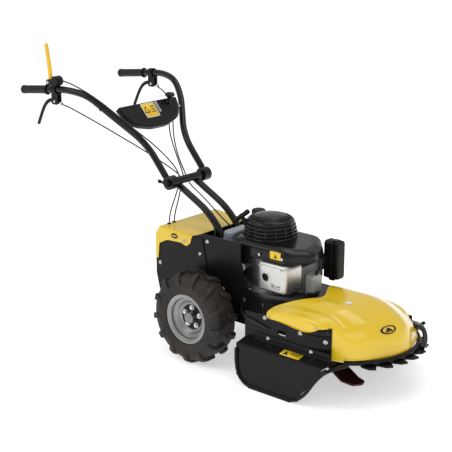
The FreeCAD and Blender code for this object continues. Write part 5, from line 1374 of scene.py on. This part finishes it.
def engine_base():
    """Cast flange under the crankcase, with its bolts."""
    count = 90
    outline = resampled(arc_corners([(56, -104, 30), (120, -118, 40), (214, -112, 40), (262, -70, 30),
                                     (262, 70, 30), (214, 112, 40), (92, 112, 40), (56, 70, 30)], 8), count)
    levels = [(0, 262.5), (0, 266), (1.5, 268), (6, 269), (9, 272), (10, 280), (14, 283)]
    last = len(levels) - 1
    points = [(x, y, z) for distance, z in levels for x, y in inset(outline, distance)]
    faces = grid_faces(len(levels), count, wrap_columns=True)
    faces += [tuple(range(count)), tuple(range(count * last, count * len(levels)))]
    weighted(skin("engine_base_flange", points, faces, "cast"))
    for i, (x, y) in enumerate(((70, -98), (150, -110), (232, -92), (70, 92), (150, 106), (232, 92))):
        hex_bolt(f"engine_base_bolt_{i}", (x, y, 267.5), (0, 0, 1), 5.2, 5)



# ---------------------------------------------------------------- the object
for build in (front_cover, rear_hood, engine_shroud, recoil_dome, muffler_guard, valve_cover, air_cleaner,
              fuel_tank, fuel_cap, oil_cap, starter):
    build()
for side, sign in SIDES:
    wheel(side, sign)
for build in (grips, console_tray, selector_knob, levers, controls, clamp, cables, body_bolts, wing_labels,
              badges, front_comb, engine_base, deck_trim):
    build()



# ---------------------------------------------------------------- floor, light
floor_size = 60.0      # metres from the middle to each edge
mesh = bpy.data.meshes.new("floor")
mesh.from_pydata([(-floor_size, -floor_size, 0), (floor_size, -floor_size, 0), (floor_size, floor_size, 0),
                  (-floor_size, floor_size, 0)], [], [(0, 1, 2, 3)])
floor = bpy.data.objects.new("floor", mesh)
bpy.context.scene.collection.objects.link(floor)
floor_finish = Graph("floor_pale")
floor_finish.shader.inputs["Roughness"].default_value = 0.9
floor_finish.shader.inputs["Specular IOR Level"].default_value = 0.1
floor_finish.shader.inputs["Emission Color"].default_value = (1, 1, 1, 1)
floor_finish.shader.inputs["Emission Strength"].default_value = 0.5
floor_finish.link(floor_finish.mix(floor_finish.noise(2.0), (0.9, 0.9, 0.9), (0.93, 0.93, 0.93)),
                  floor_finish.shader.inputs["Base Color"])
mesh.materials.append(floor_finish.material)

world = bpy.data.worlds.new("studio")
world.use_nodes = True
world.node_tree.nodes["Background"].inputs["Color"].default_value = (1, 1, 1, 1)
world.node_tree.nodes["Background"].inputs["Strength"].default_value = 0.62
bpy.context.scene.world = world
bpy.context.scene.view_settings.view_transform = "Standard"


def softbox(name, place, target, size, power):
    """An area light that faces its target."""
    data = bpy.data.lights.new(name, "AREA")
    data.shape = "RECTANGLE"
    data.size, data.size_y = size
    data.energy = power
    item = bpy.data.objects.new(name, data)
    bpy.context.scene.collection.objects.link(item)
    item.location = place
    item.rotation_mode = "QUATERNION"
    item.rotation_quaternion = (Vector(target) - Vector(place)).to_track_quat("-Z", "Y")


softbox("key_light", (-1.2, -2.6, 3.2), (0.1, 0, 0.3), (2.6, 1.6), 34)
softbox("fill_light", (3.4, -1.2, 1.6), (0.1, 0, 0.4), (1.8, 1.8), 9)
softbox("top_light", (0.3, 1.0, 3.6), (0.1, 0, 0.3), (3.0, 1.8), 26)
